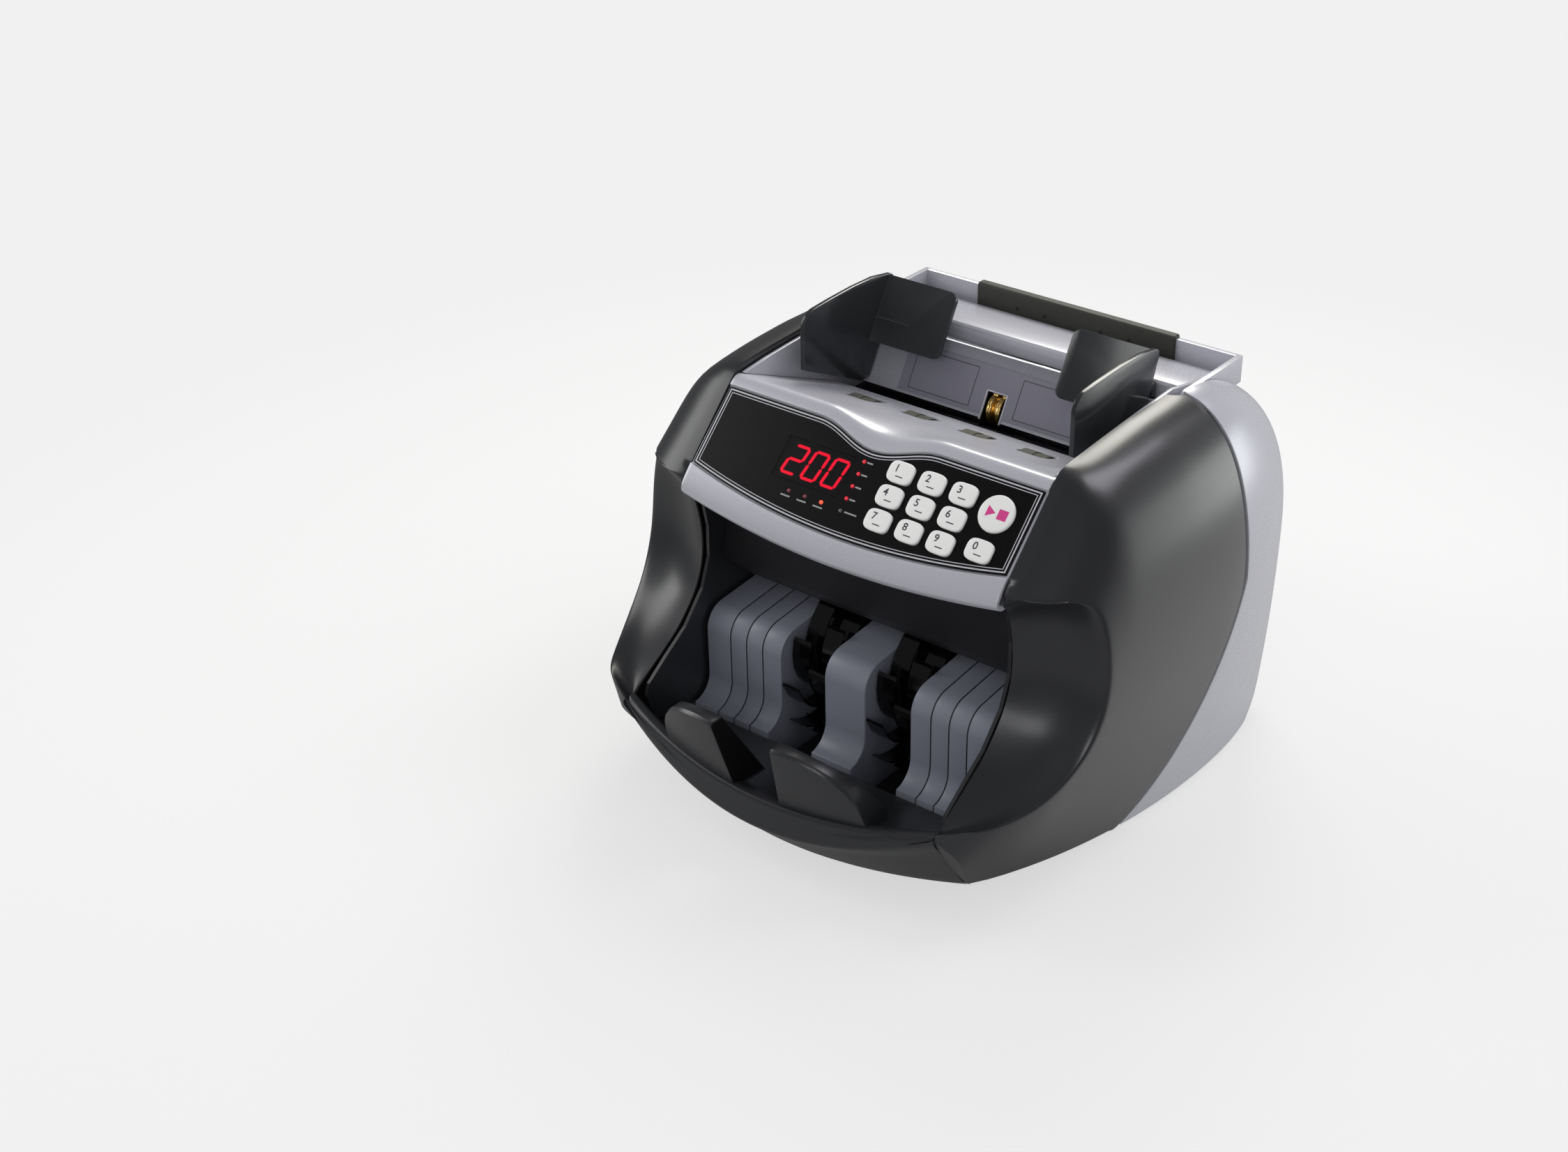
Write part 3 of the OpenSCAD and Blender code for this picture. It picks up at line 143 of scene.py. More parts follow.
class Finish(Nodes):
    """A material under construction; paint() ends it."""

    def __init__(self, name):
        self.material = bpy.data.materials.new(name)
        self.material.use_nodes = True
        super().__init__(self.material.node_tree)

    def place(self):
        return self.node("ShaderNodeTexCoord", out="Object")

    def axes(self, vector):
        split = self.node("ShaderNodeSeparateXYZ", inputs={0: vector})
        return [Value(self, output) for output in split.socket.node.outputs]

    def noise(self, vector, scale, detail=2.0, rough=0.5):
        return self.node("ShaderNodeTexNoise", {},
                         {"Vector": vector, "Scale": scale, "Detail": detail, "Roughness": rough})

    def stretched(self, vector, scale):
        return self.node("ShaderNodeMapping", {}, {"Vector": vector, "Scale": scale})

    def blend(self, factor, low, high):
        low, high = (end if isinstance(end, Value) else (*end, 1.0) for end in (low, high))
        return self.node("ShaderNodeMix", {"data_type": "RGBA"}, {0: factor, 6: low, 7: high}, out=2)

    def bump(self, height, distance):
        return self.node("ShaderNodeBump", {}, {"Strength": 1.0, "Distance": distance, "Height": height})

    def paint(self, **sockets):
        """Ends the material with a Principled shader whose sockets are given by name."""
        names = {key.replace("_", " "): value for key, value in sockets.items()}
        shader = self.node("ShaderNodeBsdfPrincipled", {}, names)
        self.node("ShaderNodeOutputMaterial", {}, {"Surface": shader})
        return self.material


# ---- finishes ----------------------------------------------------------------------------------
def rgb(red, green, blue):
    """Linear colour of a screen colour given from 0 to 255."""
    c = np.array([red, green, blue]) / 255
    return tuple(np.where(c <= 0.04045, c / 12.92, ((c + 0.055) / 1.055) ** 2.4).tolist())


def shade(colour, k):
    """The colour made lighter or darker by the factor k."""
    return tuple(min(1.0, v * k) for v in colour)


def moulded(name, colour, rough, drift=0.06, grain=0.00002, specular=0.5, coat=0.0, metallic=0.0):
    """Moulded plastic: fine eroded grain, a slow drift of shade and of gloss over the part."""
    f = Finish(name)
    at = f.place()
    fine = f.noise(at, scale=1500.0, detail=3.0)
    slow = f.noise(at, scale=16.0, detail=3.0)
    return f.paint(
        Base_Color=f.blend(slow, shade(colour, 1 - drift), shade(colour, 1 + drift)),
        Roughness=rough - 0.06 + 0.07 * slow + 0.05 * fine,
        Metallic=metallic, Specular_IOR_Level=specular, Coat_Weight=coat, Coat_Roughness=0.2,
        Normal=f.bump(fine, grain))


def film(name, low, high, rough, scale, detail=2.0, fine=0.0, grain=0.0, **sockets):
    """Printed film or clear plastic: a slow drift between two shades and of gloss, and a faint grain."""
    f = Finish(name)
    at = f.place()
    slow = f.noise(at, scale, detail)
    if grain:
        sockets["Normal"] = f.bump(f.noise(at, fine), grain)
    return f.paint(Base_Color=f.blend(slow, low, high), Roughness=rough + 0.08 * slow, **sockets)


def metal(name, colour, rough):
    """Turned or drawn steel: noise drawn out along the X axis into fine lines."""
    f = Finish(name)
    lines = f.noise(f.stretched(f.place(), (1.0, 40.0, 40.0)), scale=60.0, detail=4.0, rough=0.6)
    return f.paint(
        Base_Color=f.blend(lines, shade(colour, 0.86), shade(colour, 1.08)),
        Roughness=rough + 0.12 * lines, Metallic=1.0, Normal=f.bump(lines, 0.00001))


def brass_finish():
    """Brass with fine turned lines round it, drawn from noise stretched across X."""
    f = Finish("brass")
    at = f.place()
    lines = f.noise(f.stretched(at, (30.0, 1.0, 1.0)), scale=30.0, rough=0.6)
    slow = f.noise(at, scale=120.0)
    return f.paint(Base_Color=f.blend(lines, (0.78, 0.50, 0.16), (0.96, 0.70, 0.29)),
                   Roughness=0.16 + 0.14 * slow, Metallic=1.0, Normal=f.bump(lines, 0.000006))


def rubber(name, colour, rough=0.75):
    """Moulded rubber: matt, with a soft cloudy shade and a coarser grain."""
    f = Finish(name)
    at = f.place()
    fine = f.noise(at, scale=900.0, detail=4.0, rough=0.6)
    slow = f.noise(at, scale=45.0, detail=3.0)
    return f.paint(
        Base_Color=f.blend(slow, shade(colour, 0.82), shade(colour, 1.15)),
        Roughness=rough + 0.1 * fine, Specular_IOR_Level=0.35, Normal=f.bump(fine, 0.00005))


SLATE = rgb(128, 131, 144)
GROOVES, GROOVE_HALF = (0.05435, 0.06535, 0.07635), 0.00042  # metres


def slate_finish():
    """Blue-grey plastic whose three groove lines, at fixed distances from the middle, are darker: painted
    shade for the shadow in the grooves.
    """
    f = Finish("slate_plastic")
    at = f.place()
    fine = f.noise(at, scale=1500.0, detail=3.0)
    slow = f.noise(at, scale=18.0, detail=3.0)
    across = abs(f.axes(at)[0])
    # painted shade: a mask of the three grooves, which are darkened below and made rougher
    line = sum(abs(across - groove) < GROOVE_HALF for groove in GROOVES)
    body = f.blend(slow, shade(SLATE, 0.95), shade(SLATE, 1.05))
    return f.paint(Base_Color=f.blend(line * 0.85, body, rgb(38, 39, 46)),
                   Roughness=0.34 + 0.06 * slow + 0.2 * line, Normal=f.bump(fine, 0.00002))


DOTS, DOT_Z, DOT_R = (-0.036, -0.018, 0.018, 0.036), 0.1982, 0.0011832  # metres


def grip_finish():
    """Dark olive soft grip, cloudy, with a row of small dark dots along the middle of its front face."""
    f = Finish("grip_rubber")
    at = f.place()
    x, _, z = f.axes(at)
    slow = f.noise(at, scale=35.0, detail=4.0, rough=0.6)
    fine = f.noise(at, scale=1100.0, detail=3.0)
    up = z - DOT_Z
    dots = sum((x - middle) * (x - middle) + up * up < DOT_R**2 for middle in DOTS)
    body = f.blend(slow, rgb(40, 41, 36), rgb(60, 61, 54))
    return f.paint(Base_Color=f.blend(dots, body, rgb(14, 14, 13)), Roughness=0.5 + 0.12 * slow,
                   Specular_IOR_Level=0.45, Normal=f.bump(fine + slow * 6.0, 0.00004))


def glow(name, colour, strength, dim=0.75):
    """Lit lens: the light is a little uneven, so the glow varies between dim and full."""
    f = Finish(name)
    shaded = f.blend(f.noise(f.place(), scale=900.0), shade(colour, dim), colour)
    return f.paint(Base_Color=shaded, Roughness=0.3, Emission_Color=shaded, Emission_Strength=strength)


def board_finish():
    """Green circuit board with paler tracks between the cells of a brick pattern."""
    f = Finish("circuit_board")
    bricks = {"Vector": f.place(), "Scale": 90.0, "Mortar Size": 0.06}
    tracks = f.node("ShaderNodeTexBrick", {}, bricks, out=1)
    return f.paint(Base_Color=f.blend(tracks, rgb(18, 78, 44), rgb(30, 108, 62)), Roughness=0.4)


charcoal = moulded("charcoal_plastic", rgb(36, 37, 40), rough=0.33, drift=0.05, specular=0.6, coat=0.2)
silver = moulded("silver_plastic", rgb(188, 189, 197), rough=0.28, drift=0.03, grain=0.000002, metallic=0.2)
slate = slate_finish()
gloss_black = moulded("gloss_black_plastic", rgb(13, 13, 14), rough=0.07, drift=0.1, grain=0.000004,
                      specular=0.9)
# near-black: the display body's own colour, and painted shade in the seam, the wheel well and on the stops'
# inner ends
black_lining_and_shade = moulded("black_lining_and_shade", rgb(9, 9, 10), rough=0.6, drift=0.1, specular=0.2)
wheel_black = moulded("wheel_black", rgb(6, 6, 7), rough=0.12, drift=0.1, grain=0.000004)
key_white = moulded("key_plastic", rgb(238, 238, 236), rough=0.3, drift=0.03)
smoke = film("smoke_plastic", rgb(38, 40, 42), rgb(48, 50, 52), rough=0.18, scale=22.0, detail=3.0,
             fine=1200.0, grain=0.000006, Specular_IOR_Level=0.5, Coat_Weight=0.1, Coat_Roughness=0.08,
             Alpha=0.97)
# lighter grey for the hopper guides' rounded edges: a painted highlight along them
smoke_edge_highlight = moulded("smoke_edge_highlight", rgb(104, 108, 110), rough=0.22, drift=0.08)
overlay_film = film("overlay_film", rgb(12, 10, 11), rgb(18, 15, 17), rough=0.25, scale=9.0,
                    fine=2200.0, grain=0.000008, Specular_IOR_Level=0.14)
window_film = film("display_window", rgb(12, 10, 11), rgb(18, 15, 17), rough=0.25, scale=9.0,
                   Specular_IOR_Level=0.2, Alpha=0.5)
label_film = film("label_film", rgb(122, 121, 134), rgb(132, 131, 144), rough=0.32, scale=30.0, detail=3.0,
                  fine=1800.0, grain=0.00001)
digit_light = glow("digit_light", rgb(255, 10, 50), strength=3.6, dim=0.9)
lamp_red = glow("lamp_red", rgb(205, 40, 56), strength=0.5)
lamp_bright = glow("lamp_bright", rgb(255, 84, 60), strength=1.1)
lamp_dim = glow("lamp_dim", rgb(120, 62, 66), strength=0.25)
lamp_off = moulded("lamp_off", rgb(96, 92, 92), rough=0.3)
print_silver = moulded("print_silver", rgb(186, 187, 192), rough=0.3, drift=0.03)
print_grey = moulded("print_grey", rgb(150, 150, 152), rough=0.4, drift=0.05)
print_line = moulded("print_line", rgb(64, 64, 74), rough=0.4, drift=0.05)
print_magenta = moulded("print_magenta", rgb(214, 60, 140), rough=0.4, drift=0.05)
print_white = moulded("print_white", rgb(230, 230, 230), rough=0.4, drift=0.03)
circuit_board = board_finish()
black_steel = moulded("black_steel", rgb(33, 33, 36), rough=0.45, drift=0.1)
bright_steel = metal("bright_steel", (0.56, 0.57, 0.58), rough=0.22)
bronze = metal("bronze", (0.5, 0.34, 0.16), rough=0.35)
brass = brass_finish()
black_rubber = rubber("black_rubber", rgb(30, 30, 31))
roller_olive = rubber("roller_rubber", rgb(74, 75, 66), rough=0.62)
roller_dark = rubber("roller_dark", rgb(20, 20, 20), rough=0.55)
grip_rubber = grip_finish()


# ---- meshes ------------------------------------------------------------------------------------
FOLD = 38.0  # degrees between two faces from which their edge stays sharp


def unit(v):
    """Each row of vectors scaled to length one."""
    return v / np.maximum(np.linalg.norm(v, axis=-1, keepdims=True), 1e-9)


def raw_mesh(name, form):
    """The mesh in metres of a form in millimetres."""
    points, faces = form
    mesh = bpy.data.meshes.new(name)
    mesh.from_pydata((np.asarray(points, float) * MM).tolist(), [], faces)
    return mesh


def cleaned(mesh, merge=0.0, flat=0.0):
    """Merges points nearer than merge, joins faces that meet within flat degrees, turns normals out."""
    work = bmesh.new()
    work.from_mesh(mesh)
    if merge:
        bmesh.ops.remove_doubles(work, verts=work.verts, dist=merge)
    if flat:
        bmesh.ops.dissolve_limit(work, angle_limit=math.radians(flat), verts=work.verts, edges=work.edges)
    bmesh.ops.recalc_face_normals(work, faces=work.faces)
    work.to_mesh(mesh)
    work.free()


def smoothed(mesh, sharp):
    """Shades a mesh smooth, save for the edges that fold by more than sharp degrees."""
    mesh.polygons.foreach_set("use_smooth", np.ones(len(mesh.polygons), bool))
    mesh.set_sharp_from_angle(angle=math.radians(sharp))


def dress(name, mesh, finish, body="root", stands_for=(), sharp=FOLD):
    """Turns a mesh in metres into a finished piece that rides on its body."""
    cleaned(mesh, merge=0.000002)
    smoothed(mesh, sharp)
    for one in finish if isinstance(finish, tuple) else (finish,):
        mesh.materials.append(one)
    made = added(name, mesh)
    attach(made, body)
    if stands_for:
        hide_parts(*stands_for)
    return made


def piece(name, form, finish, body="root", stands_for=(), sharp=FOLD):
    """Makes a finished piece from a form."""
    return dress(name, raw_mesh(name, form), finish, body, stands_for, sharp)


def modified(made, kind, sharp=FOLD, **settings):
    """Adds one modifier to a piece, applies it and shades the result smooth again."""
    modifier = made.modifiers.new(kind.lower(), kind)
    for key, value in settings.items():
        setattr(modifier, key, value)
    bpy.context.view_layer.update()
    made.data = bpy.data.meshes.new_from_object(made.evaluated_get(bpy.context.evaluated_depsgraph_get()))
    made.modifiers.clear()
    smoothed(made.data, sharp)
    return made


def rounded(made, width, segments=2, angle=35.0, **settings):
    """Rounds the edges sharper than angle, width in millimetres."""
    return modified(made, "BEVEL", width=width * MM, segments=segments, limit_method="ANGLE",
                    angle_limit=math.radians(angle), use_clamp_overlap=True, harden_normals=False,
                    **settings)


def cut(made, form):
    """Takes a closed form out of a piece."""
    mesh = raw_mesh("cutter", form)
    cleaned(mesh)
    cutter = added("cutter", mesh)
    modified(made, "BOOLEAN", operation="DIFFERENCE", solver="EXACT", object=cutter)
    bpy.data.objects.remove(cutter)


def from_node(node, finish, slot, width, segments=2, angle=35.0, **settings):
    """A copy of a CAD node with its doubles merged, its flat faces joined and its edges rounded."""
    mesh = frame["nodes"][node].data.copy()
    mesh.materials.clear()
    cleaned(mesh, merge=0.000004, flat=0.6)
    bodies = frame["record"]["behaviour"]["bodies"]
    owner = next(body for body, nodes in bodies.items() if node in nodes)
    made = dress(node + "_rounded", mesh, finish, owner, (node,))
    return rounded(made, width, segments, angle, **settings)


# ---- forms -------------------------------------------------------------------------------------
def rows_to_quads(rows, cols, start=0, turn=False):
    """Quads that join neighbours on a grid of points numbered row by row from start."""
    index = start + np.arange(rows * cols).reshape(rows, cols)
    quads = np.stack([index[:-1, :-1], index[:-1, 1:], index[1:, 1:], index[1:, :-1]], -1).reshape(-1, 4)
    return quads[:, ::-1] if turn else quads


def closed_wall(grid, wall):
    """A grid of points given a thickness: the other side lies wall away from it, against the cross
    product of the grid's two directions (a negative wall: along it), kept inside the grid's own box,
    and a band along the rim joins the two sides."""
    across, along = np.gradient(grid, axis=0), np.gradient(grid, axis=1)
    inner = grid - wall * unit(np.cross(across, along))
    inner = np.clip(inner, grid.min((0, 1)), grid.max((0, 1)))
    n, m = grid.shape[:2]
    count = n * m
    index = np.arange(count).reshape(n, m)
    loop = np.concatenate([index[0, :-1], index[:-1, -1], index[-1, :0:-1], index[:0:-1, 0]])
    ahead = np.roll(loop, -1)
    band = np.stack([loop, loop + count, ahead + count, ahead], -1)
    faces = np.concatenate([rows_to_quads(n, m), rows_to_quads(n, m, count, True), band])
    return np.concatenate([grid.reshape(-1, 3), inner.reshape(-1, 3)]), faces.tolist()


def on_side(form, sign):
    """The form itself on the right side, sign 1, or its mirror image on the left, sign -1."""
    points, faces = form
    return points * (sign, 1, 1), faces


def joined(forms):
    """Several forms as one."""
    points, faces, start = [], [], 0
    for more, quads in forms:
        points.append(more)
        faces += [[k + start for k in face] for face in quads]
        start += len(more)
    return np.concatenate(points), faces


def relaxed(grid, times, weight):
    """Points moved towards the mean of their four neighbours, times over, as far as weight allows."""
    made = grid.copy()
    for _ in range(times):
        mean = (made[:-2, 1:-1] + made[2:, 1:-1] + made[1:-1, :-2] + made[1:-1, 2:]) / 4
        made[1:-1, 1:-1] += (mean - made[1:-1, 1:-1]) * weight[1:-1, 1:-1, None]
    return made


def curve_at(points, t):
    """Points at places t, counted in control points, on the smooth cubic through the control points."""
    p = np.asarray(points, float)
    last = len(p) - 1
    k = np.clip(np.floor(t).astype(int), 0, last - 1)
    u = (t - k)[:, None]
    a, b, c, d = p[np.maximum(k - 1, 0)], p[k], p[k + 1], p[np.minimum(k + 2, last)]
    bend, twist = 2 * a - 5 * b + 4 * c - d, 3 * b - a - 3 * c + d
    return 0.5 * (2 * b + (c - a) * u + bend * u**2 + twist * u**3)


def loft(sections, capped=True):
    """A solid through matching closed sections, with a flat cap at each end."""
    n, m = sections.shape[:2]
    k = np.arange(m)
    ahead = (k + 1) % m
    row = (np.arange(n - 1) * m)[:, None]
    faces = np.stack([row + k, row + ahead, row + ahead + m, row + k + m], -1).reshape(-1, 4).tolist()
    if capped:
        faces += [k[::-1].tolist(), ((n - 1) * m + k).tolist()]
    return sections.reshape(-1, 3), faces


def turned(profile, n, place, capped=True):
    """A solid of revolution: the (radius, height) profile turned round the local z axis."""
    r, h = np.asarray(profile, float).T
    a = np.linspace(0, 2 * np.pi, n, endpoint=False)
    rings = np.stack([np.outer(r, np.cos(a)), np.outer(r, np.sin(a)), np.repeat(h[:, None], n, 1)], -1)
    points, faces = loft(rings, capped)
    return place(points), faces


def prism(outline, low, high, place):
    """A closed prism over an outline of local (x, y) points, from the heights low to high."""
    flat = np.asarray(outline, float)
    points, faces = loft(np.stack([np.column_stack([flat, np.full(len(flat), h)]) for h in (low, high)]))
    return place(points), faces


def block(x0, x1, y0, y1, low, high, place):
    """A rectangular block in local points."""
    return prism([(x0, y0), (x1, y0), (x1, y1), (x0, y1)], low, high, place)


def soft_outline(width, height, power, n):
    """A barrel-sided outline of n points: |x/a|^power + |y/b|^power = 1."""
    a = np.linspace(0, 2 * np.pi, n, endpoint=False)
    c, s = np.cos(a), np.sin(a)
    k = 2 / power
    x, y = np.sign(c) * np.abs(c) ** k, np.sign(s) * np.abs(s) ** k
    return np.column_stack([width / 2 * x, height / 2 * y])


# ---- body form ---------------------------------------------------------------------------------
HALF_DECK, BULGE = 98.0, 50.0
WIDEST_Y, WIDEST_Z = 39.0, 108.0
FRONT_FALL, REAR_FALL = 308.0, 126.0
BASE_HALF, BASE_FALL = 138.0, 232.0
SWELL = 2.3
TOE_START, TOE_RUN, TOE_PINCH = -90.0, 50.0, 0.35
REAR_R, REAR_Y, REAR_Z = 99.4, 64.0, 110.0
FLOOR_GAP = 2.0
TILT = math.radians(44.5)
PANEL_Y, PANEL_Z = -50.5, 196.8
CROWN_Z, CROWN_RISE = REAR_Z + REAR_R, 6.0
CROWN_LIFT, LIFT_BACK, LIFT_FRONT, LIFT_FADE = 2.0, 60.0, -84.0, 40.0


def on_panel(s, h=0.0):
    """(y, z) of the panel at s down its slope and h above it."""
    s, h = np.broadcast_arrays(np.asarray(s, float), np.asarray(h, float))
    return np.stack([PANEL_Y - s * math.cos(TILT) - h * math.sin(TILT),
                     PANEL_Z - s * math.sin(TILT) + h * math.cos(TILT)], -1)


RIDGE_S = -9.4
RIDGE_Y, RIDGE_Z = on_panel(RIDGE_S)


def crown(y):
    """Top edge of the side covers: the rear circle behind its centre, a slow root curve from there to
    the ridge, and the panel's line in front of it, all raised by a lift that fades out at both ends."""
    back = REAR_Z + np.sqrt(np.maximum(REAR_R**2 - (y - REAR_Y) ** 2, 0))
    top = CROWN_Z - CROWN_RISE + CROWN_RISE * np.sqrt(np.clip((y - RIDGE_Y) / (REAR_Y - RIDGE_Y), 0, 1))
    slope = PANEL_Z + (y - PANEL_Y) * math.tan(TILT)
    line = np.where(y > REAR_Y, back, np.where(y > RIDGE_Y, top, np.minimum(CROWN_Z - CROWN_RISE, slope)))
    fade = np.clip((LIFT_BACK - y) / LIFT_FADE, 0, 1) * np.clip((y - LIFT_FRONT) / LIFT_FADE, 0, 1)
    return line + CROWN_LIFT * fade


def rear_y(z):
    """Rear outline below the widest height: a fourth-power curve down to the table."""
    return REAR_Y + REAR_R * (1 - ((WIDEST_Z - z) / WIDEST_Z) ** 2) ** 0.25


def skin_x(y, z):
    """Half-width of the body: a superellipse of power SWELL above the widest height, a parabola down to
    the footprint below it, both scaled by half-ellipses along Y and pinched in at the toe."""
    fall = np.where(y > WIDEST_Y, REAR_FALL, FRONT_FALL)
    middle = HALF_DECK + BULGE * np.sqrt(np.maximum(1 - ((y - WIDEST_Y) / fall) ** 2, 0))
    rear = np.clip((y - REAR_Y) / REAR_R, 0, 1)
    base = np.where(y > REAR_Y, HALF_DECK + (BASE_HALF - HALF_DECK) * np.sqrt(1 - rear**2),
                    BASE_HALF * np.sqrt(np.maximum(1 - ((y - REAR_Y) / BASE_FALL) ** 2, 0)))
    low = np.where(y > REAR_Y, WIDEST_Z - WIDEST_Z * np.sqrt(1 - rear**4), 0.0)
    top = np.maximum(crown(y), WIDEST_Z + 1)
    t = np.clip((z - WIDEST_Z) / (top - WIDEST_Z), 0, 1)
    below = np.clip((WIDEST_Z - z) / np.maximum(WIDEST_Z - low, 1), 0, 1)
    x = np.where(z > WIDEST_Z, HALF_DECK + (middle - HALF_DECK) * (1 - t**SWELL) ** (1 / SWELL),
                 base + (middle - base) * (1 - below**2))
    s = np.clip((TOE_START - y) / TOE_RUN, 0, 1)
    return HALF_DECK + (x - HALF_DECK) * (1 - TOE_PINCH * s**2) * (1 - s**12)


def with_x(yz):
    """Points on the right skin over a grid of (y, z)."""
    return np.concatenate([skin_x(yz[..., 0], yz[..., 1])[..., None], yz], -1)


SEAM_TOP, SEAM_Y, SEAM_LEAN = CROWN_Z - 0.6, 61.0, 3.0
KNEE_Z, KNEE_REACH, KNEE_POWER = 122.0, 86.0, 1.35


def seam_at(t):
    """(y, z) of the seam between side and rear covers from its top, t = 0, to its foot, t = 1: a
    straight line that a power curve takes over below the knee and bends forwards."""
    z = SEAM_TOP + t * (FLOOR_GAP - SEAM_TOP)
    bend = REAR_Y - KNEE_REACH * np.clip(1 - z / KNEE_Z, 0, 1) ** KNEE_POWER
    return np.stack([np.minimum(bend, SEAM_Y + SEAM_LEAN * t), z], -1)


# ---- side covers -------------------------------------------------------------------------------
POCKET_RIM = [on_panel(52.0), (-77, 161.2), (-67.3, 156.5), (-65, 138), (-66, 108), (-78, 84), (-97, 69),
              (-117, 61), (-136, 58), (-140, 51)]
POCKET_LIP = [(-86.2, 154), (-82.4, 148.6), (-79.4, 141), (-76.5, 126), (-77, 109), (-83, 93), (-97, 77),
              (-113, 66), (-128, 57), (-138.6, 49.4)]
TRAY_Z, TRAY_DRAW = 51.0, 4.4
TOE_TOP, TOE_TIP, TOE_BULGE = np.array(POCKET_RIM[-1], float), np.array([-106.4, FLOOR_GAP + 1.4]), 1.5
DECK_BACK, DECK_SHARE, PANEL_RUN, DECK_LIP = 55.0, 0.75, 46.0, 6.0
SEAM_SHARE = 0.17
TOP, RIM, TOE = 9, 17, 7        # control points along the deck and panel, round the pocket, down the toe
FOOT = 20                       # the control point that the seam's foot stands over
FINE, OUTER, SCOOP_COLS = 5, 57, 16


def toe_side(z):
    """Half-width of the tray's ends, drawn in towards the table."""
    return HALF_DECK - TRAY_DRAW * np.clip(1 - z / TRAY_Z, 0, 1)


def side_lines():
    """Front, inner and seam edges of the side cover as matching rows of (y, z) control points. The front
    edge runs down the deck and the panel, round the pocket's rim and down the bulging toe; past its
    foot the seam edge follows the table."""
    t = np.arange(TOP) / (TOP - 1)
    y = DECK_BACK + (RIDGE_Y - DECK_BACK) * t / DECK_SHARE
    down = on_panel(PANEL_RUN * (t - DECK_SHARE) / (1 - DECK_SHARE))
    top = np.where((t < DECK_SHARE)[:, None], np.column_stack([y, crown(y)]), down)
    span = np.linspace(0, len(POCKET_RIM) - 1, RIM)
    rim, lip = curve_at(POCKET_RIM, span), curve_at(POCKET_LIP, span)
    k = (np.arange(TOE) + 1)[:, None] / TOE
    toe = TOE_TOP * (1 - k) + TOE_TIP * k
    toe[:, 0] -= TOE_BULGE * np.sqrt(np.clip(np.sin(np.pi * k[:, 0]), 0, 1))
    front = np.concatenate([top, rim, toe])
    inner = np.concatenate([top - (0, DECK_LIP), lip, toe])
    i = np.arange(len(front))
    late = SEAM_SHARE + (1 - SEAM_SHARE) * (i - TOP) / (FOOT - TOP)
    seam = seam_at(np.clip(np.where(i < TOP, SEAM_SHARE * i / TOP, late), 0, 1))
    foot_y = seam_at(np.array([1.0]))[0, 0]
    table_y = foot_y + (TOE_TIP[0] + 10 - foot_y) * (i - FOOT) / (len(i) - 1 - FOOT)
    table = np.column_stack([table_y, np.full(len(i), FLOOR_GAP)])
    return front, inner, np.where((i <= FOOT)[:, None], seam, table)


def side_skin():
    """Right side cover as a grid: each row runs from the seam over the skin to the rim, then down the
    sagging scoop into the note pocket; the whole is relaxed so that the rim becomes a soft roll, less
    so near the seam, along the deck and at the toe."""
    front, inner, seam = side_lines()
    last = len(front) - 1
    r = np.linspace(0, last, last * FINE + 1)
    a, b, c = curve_at(seam, r), curve_at(front, r), curve_at(inner, r)
    on_crown = r <= TOP - 1
    b[r <= TOP, 1] = crown(b[r <= TOP, 0])
    c[on_crown] = b[on_crown] - (0, DECK_LIP)
    ahead = unit(curve_at(front, np.minimum(r + 1, last)) - curve_at(front, np.maximum(r - 1, 0)))
    k = (r - TOP) / (RIM - 1)
    depth = np.minimum(5, 0.4 * np.linalg.norm(c - b, axis=1)) * np.clip(5 * k - 0.4, 0, 1)
    sag = np.where((k < 0) | (k > 1), 0, depth)
    t = np.linspace(0, 1, OUTER)[None, :, None]
    outer = with_x(a[:, None] + (b - a)[:, None] * (1 - (1 - t) ** 1.6))
    u = np.linspace(0, 1, SCOOP_COLS + 1)[None, 1:, None]
    sink = 4 * u * (1 - u) * sag[:, None, None]
    scoop = b[:, None] + (c - b)[:, None] * u + sink * np.stack([-ahead[:, 1], ahead[:, 0]], -1)[:, None]
    edge = np.maximum(HALF_DECK, skin_x(b[:, 0], b[:, 1]))
    x = edge[:, None, None] + (toe_side(b[:, 1]) - edge)[:, None, None] * u
    grid = np.concatenate([outer, np.concatenate([x, scoop], -1)], 1)
    before_rim = OUTER - 1 - np.arange(grid.shape[1])
    weight = np.full(grid.shape[:2], 0.5)
    weight[:, :3] = 0.1
    weight[:TOP * FINE - 4] *= np.clip(before_rim / 16, 0.02, 1)
    weight[-TOE * FINE:, before_rim <= 16] = 0.05
    grid = relaxed(grid, 10, weight)
    round_pocket = np.clip((r - TOP - 1) / 2, 0, 1) * np.clip((TOP + RIM - 3 - r) / 3, 0, 1)
    return relaxed(grid, 30, 0.5 * round_pocket[:, None] * np.exp(-(before_rim / 6) ** 2))


def side_wall():
    """The right side cover with its 0.8 mm wall, which thins out over the last rows of the toe."""
    skin = side_skin()
    thinner = np.clip(np.arange(len(skin))[::-1] / 12, 0.1, 1)
    return closed_wall(skin, -0.8 * thinner[:, None, None])


wall = side_wall()
for side, sign in SIDES:
    node = side + "_side_cover"
    piece(node + "_skin", on_side(wall, sign), charcoal, stands_for=(node,), sharp=50)


# ---- rear cover --------------------------------------------------------------------------------
SOCKETS_X, SOCKETS_Z, SOCKETS_W, SOCKETS_H = -40.0, 44.0, 58.0, 25.0
SOCKETS_Y, SOCKETS_TILT = rear_y(SOCKETS_Z), math.radians(111.0)
NOTCH_X, NOTCH_Y, NOTCH_Z = HALF_DECK + 5.2, (41, 129), (176, 236)


def as_it_is(p):
    """Points that are given in the machine's own axes."""
    return p


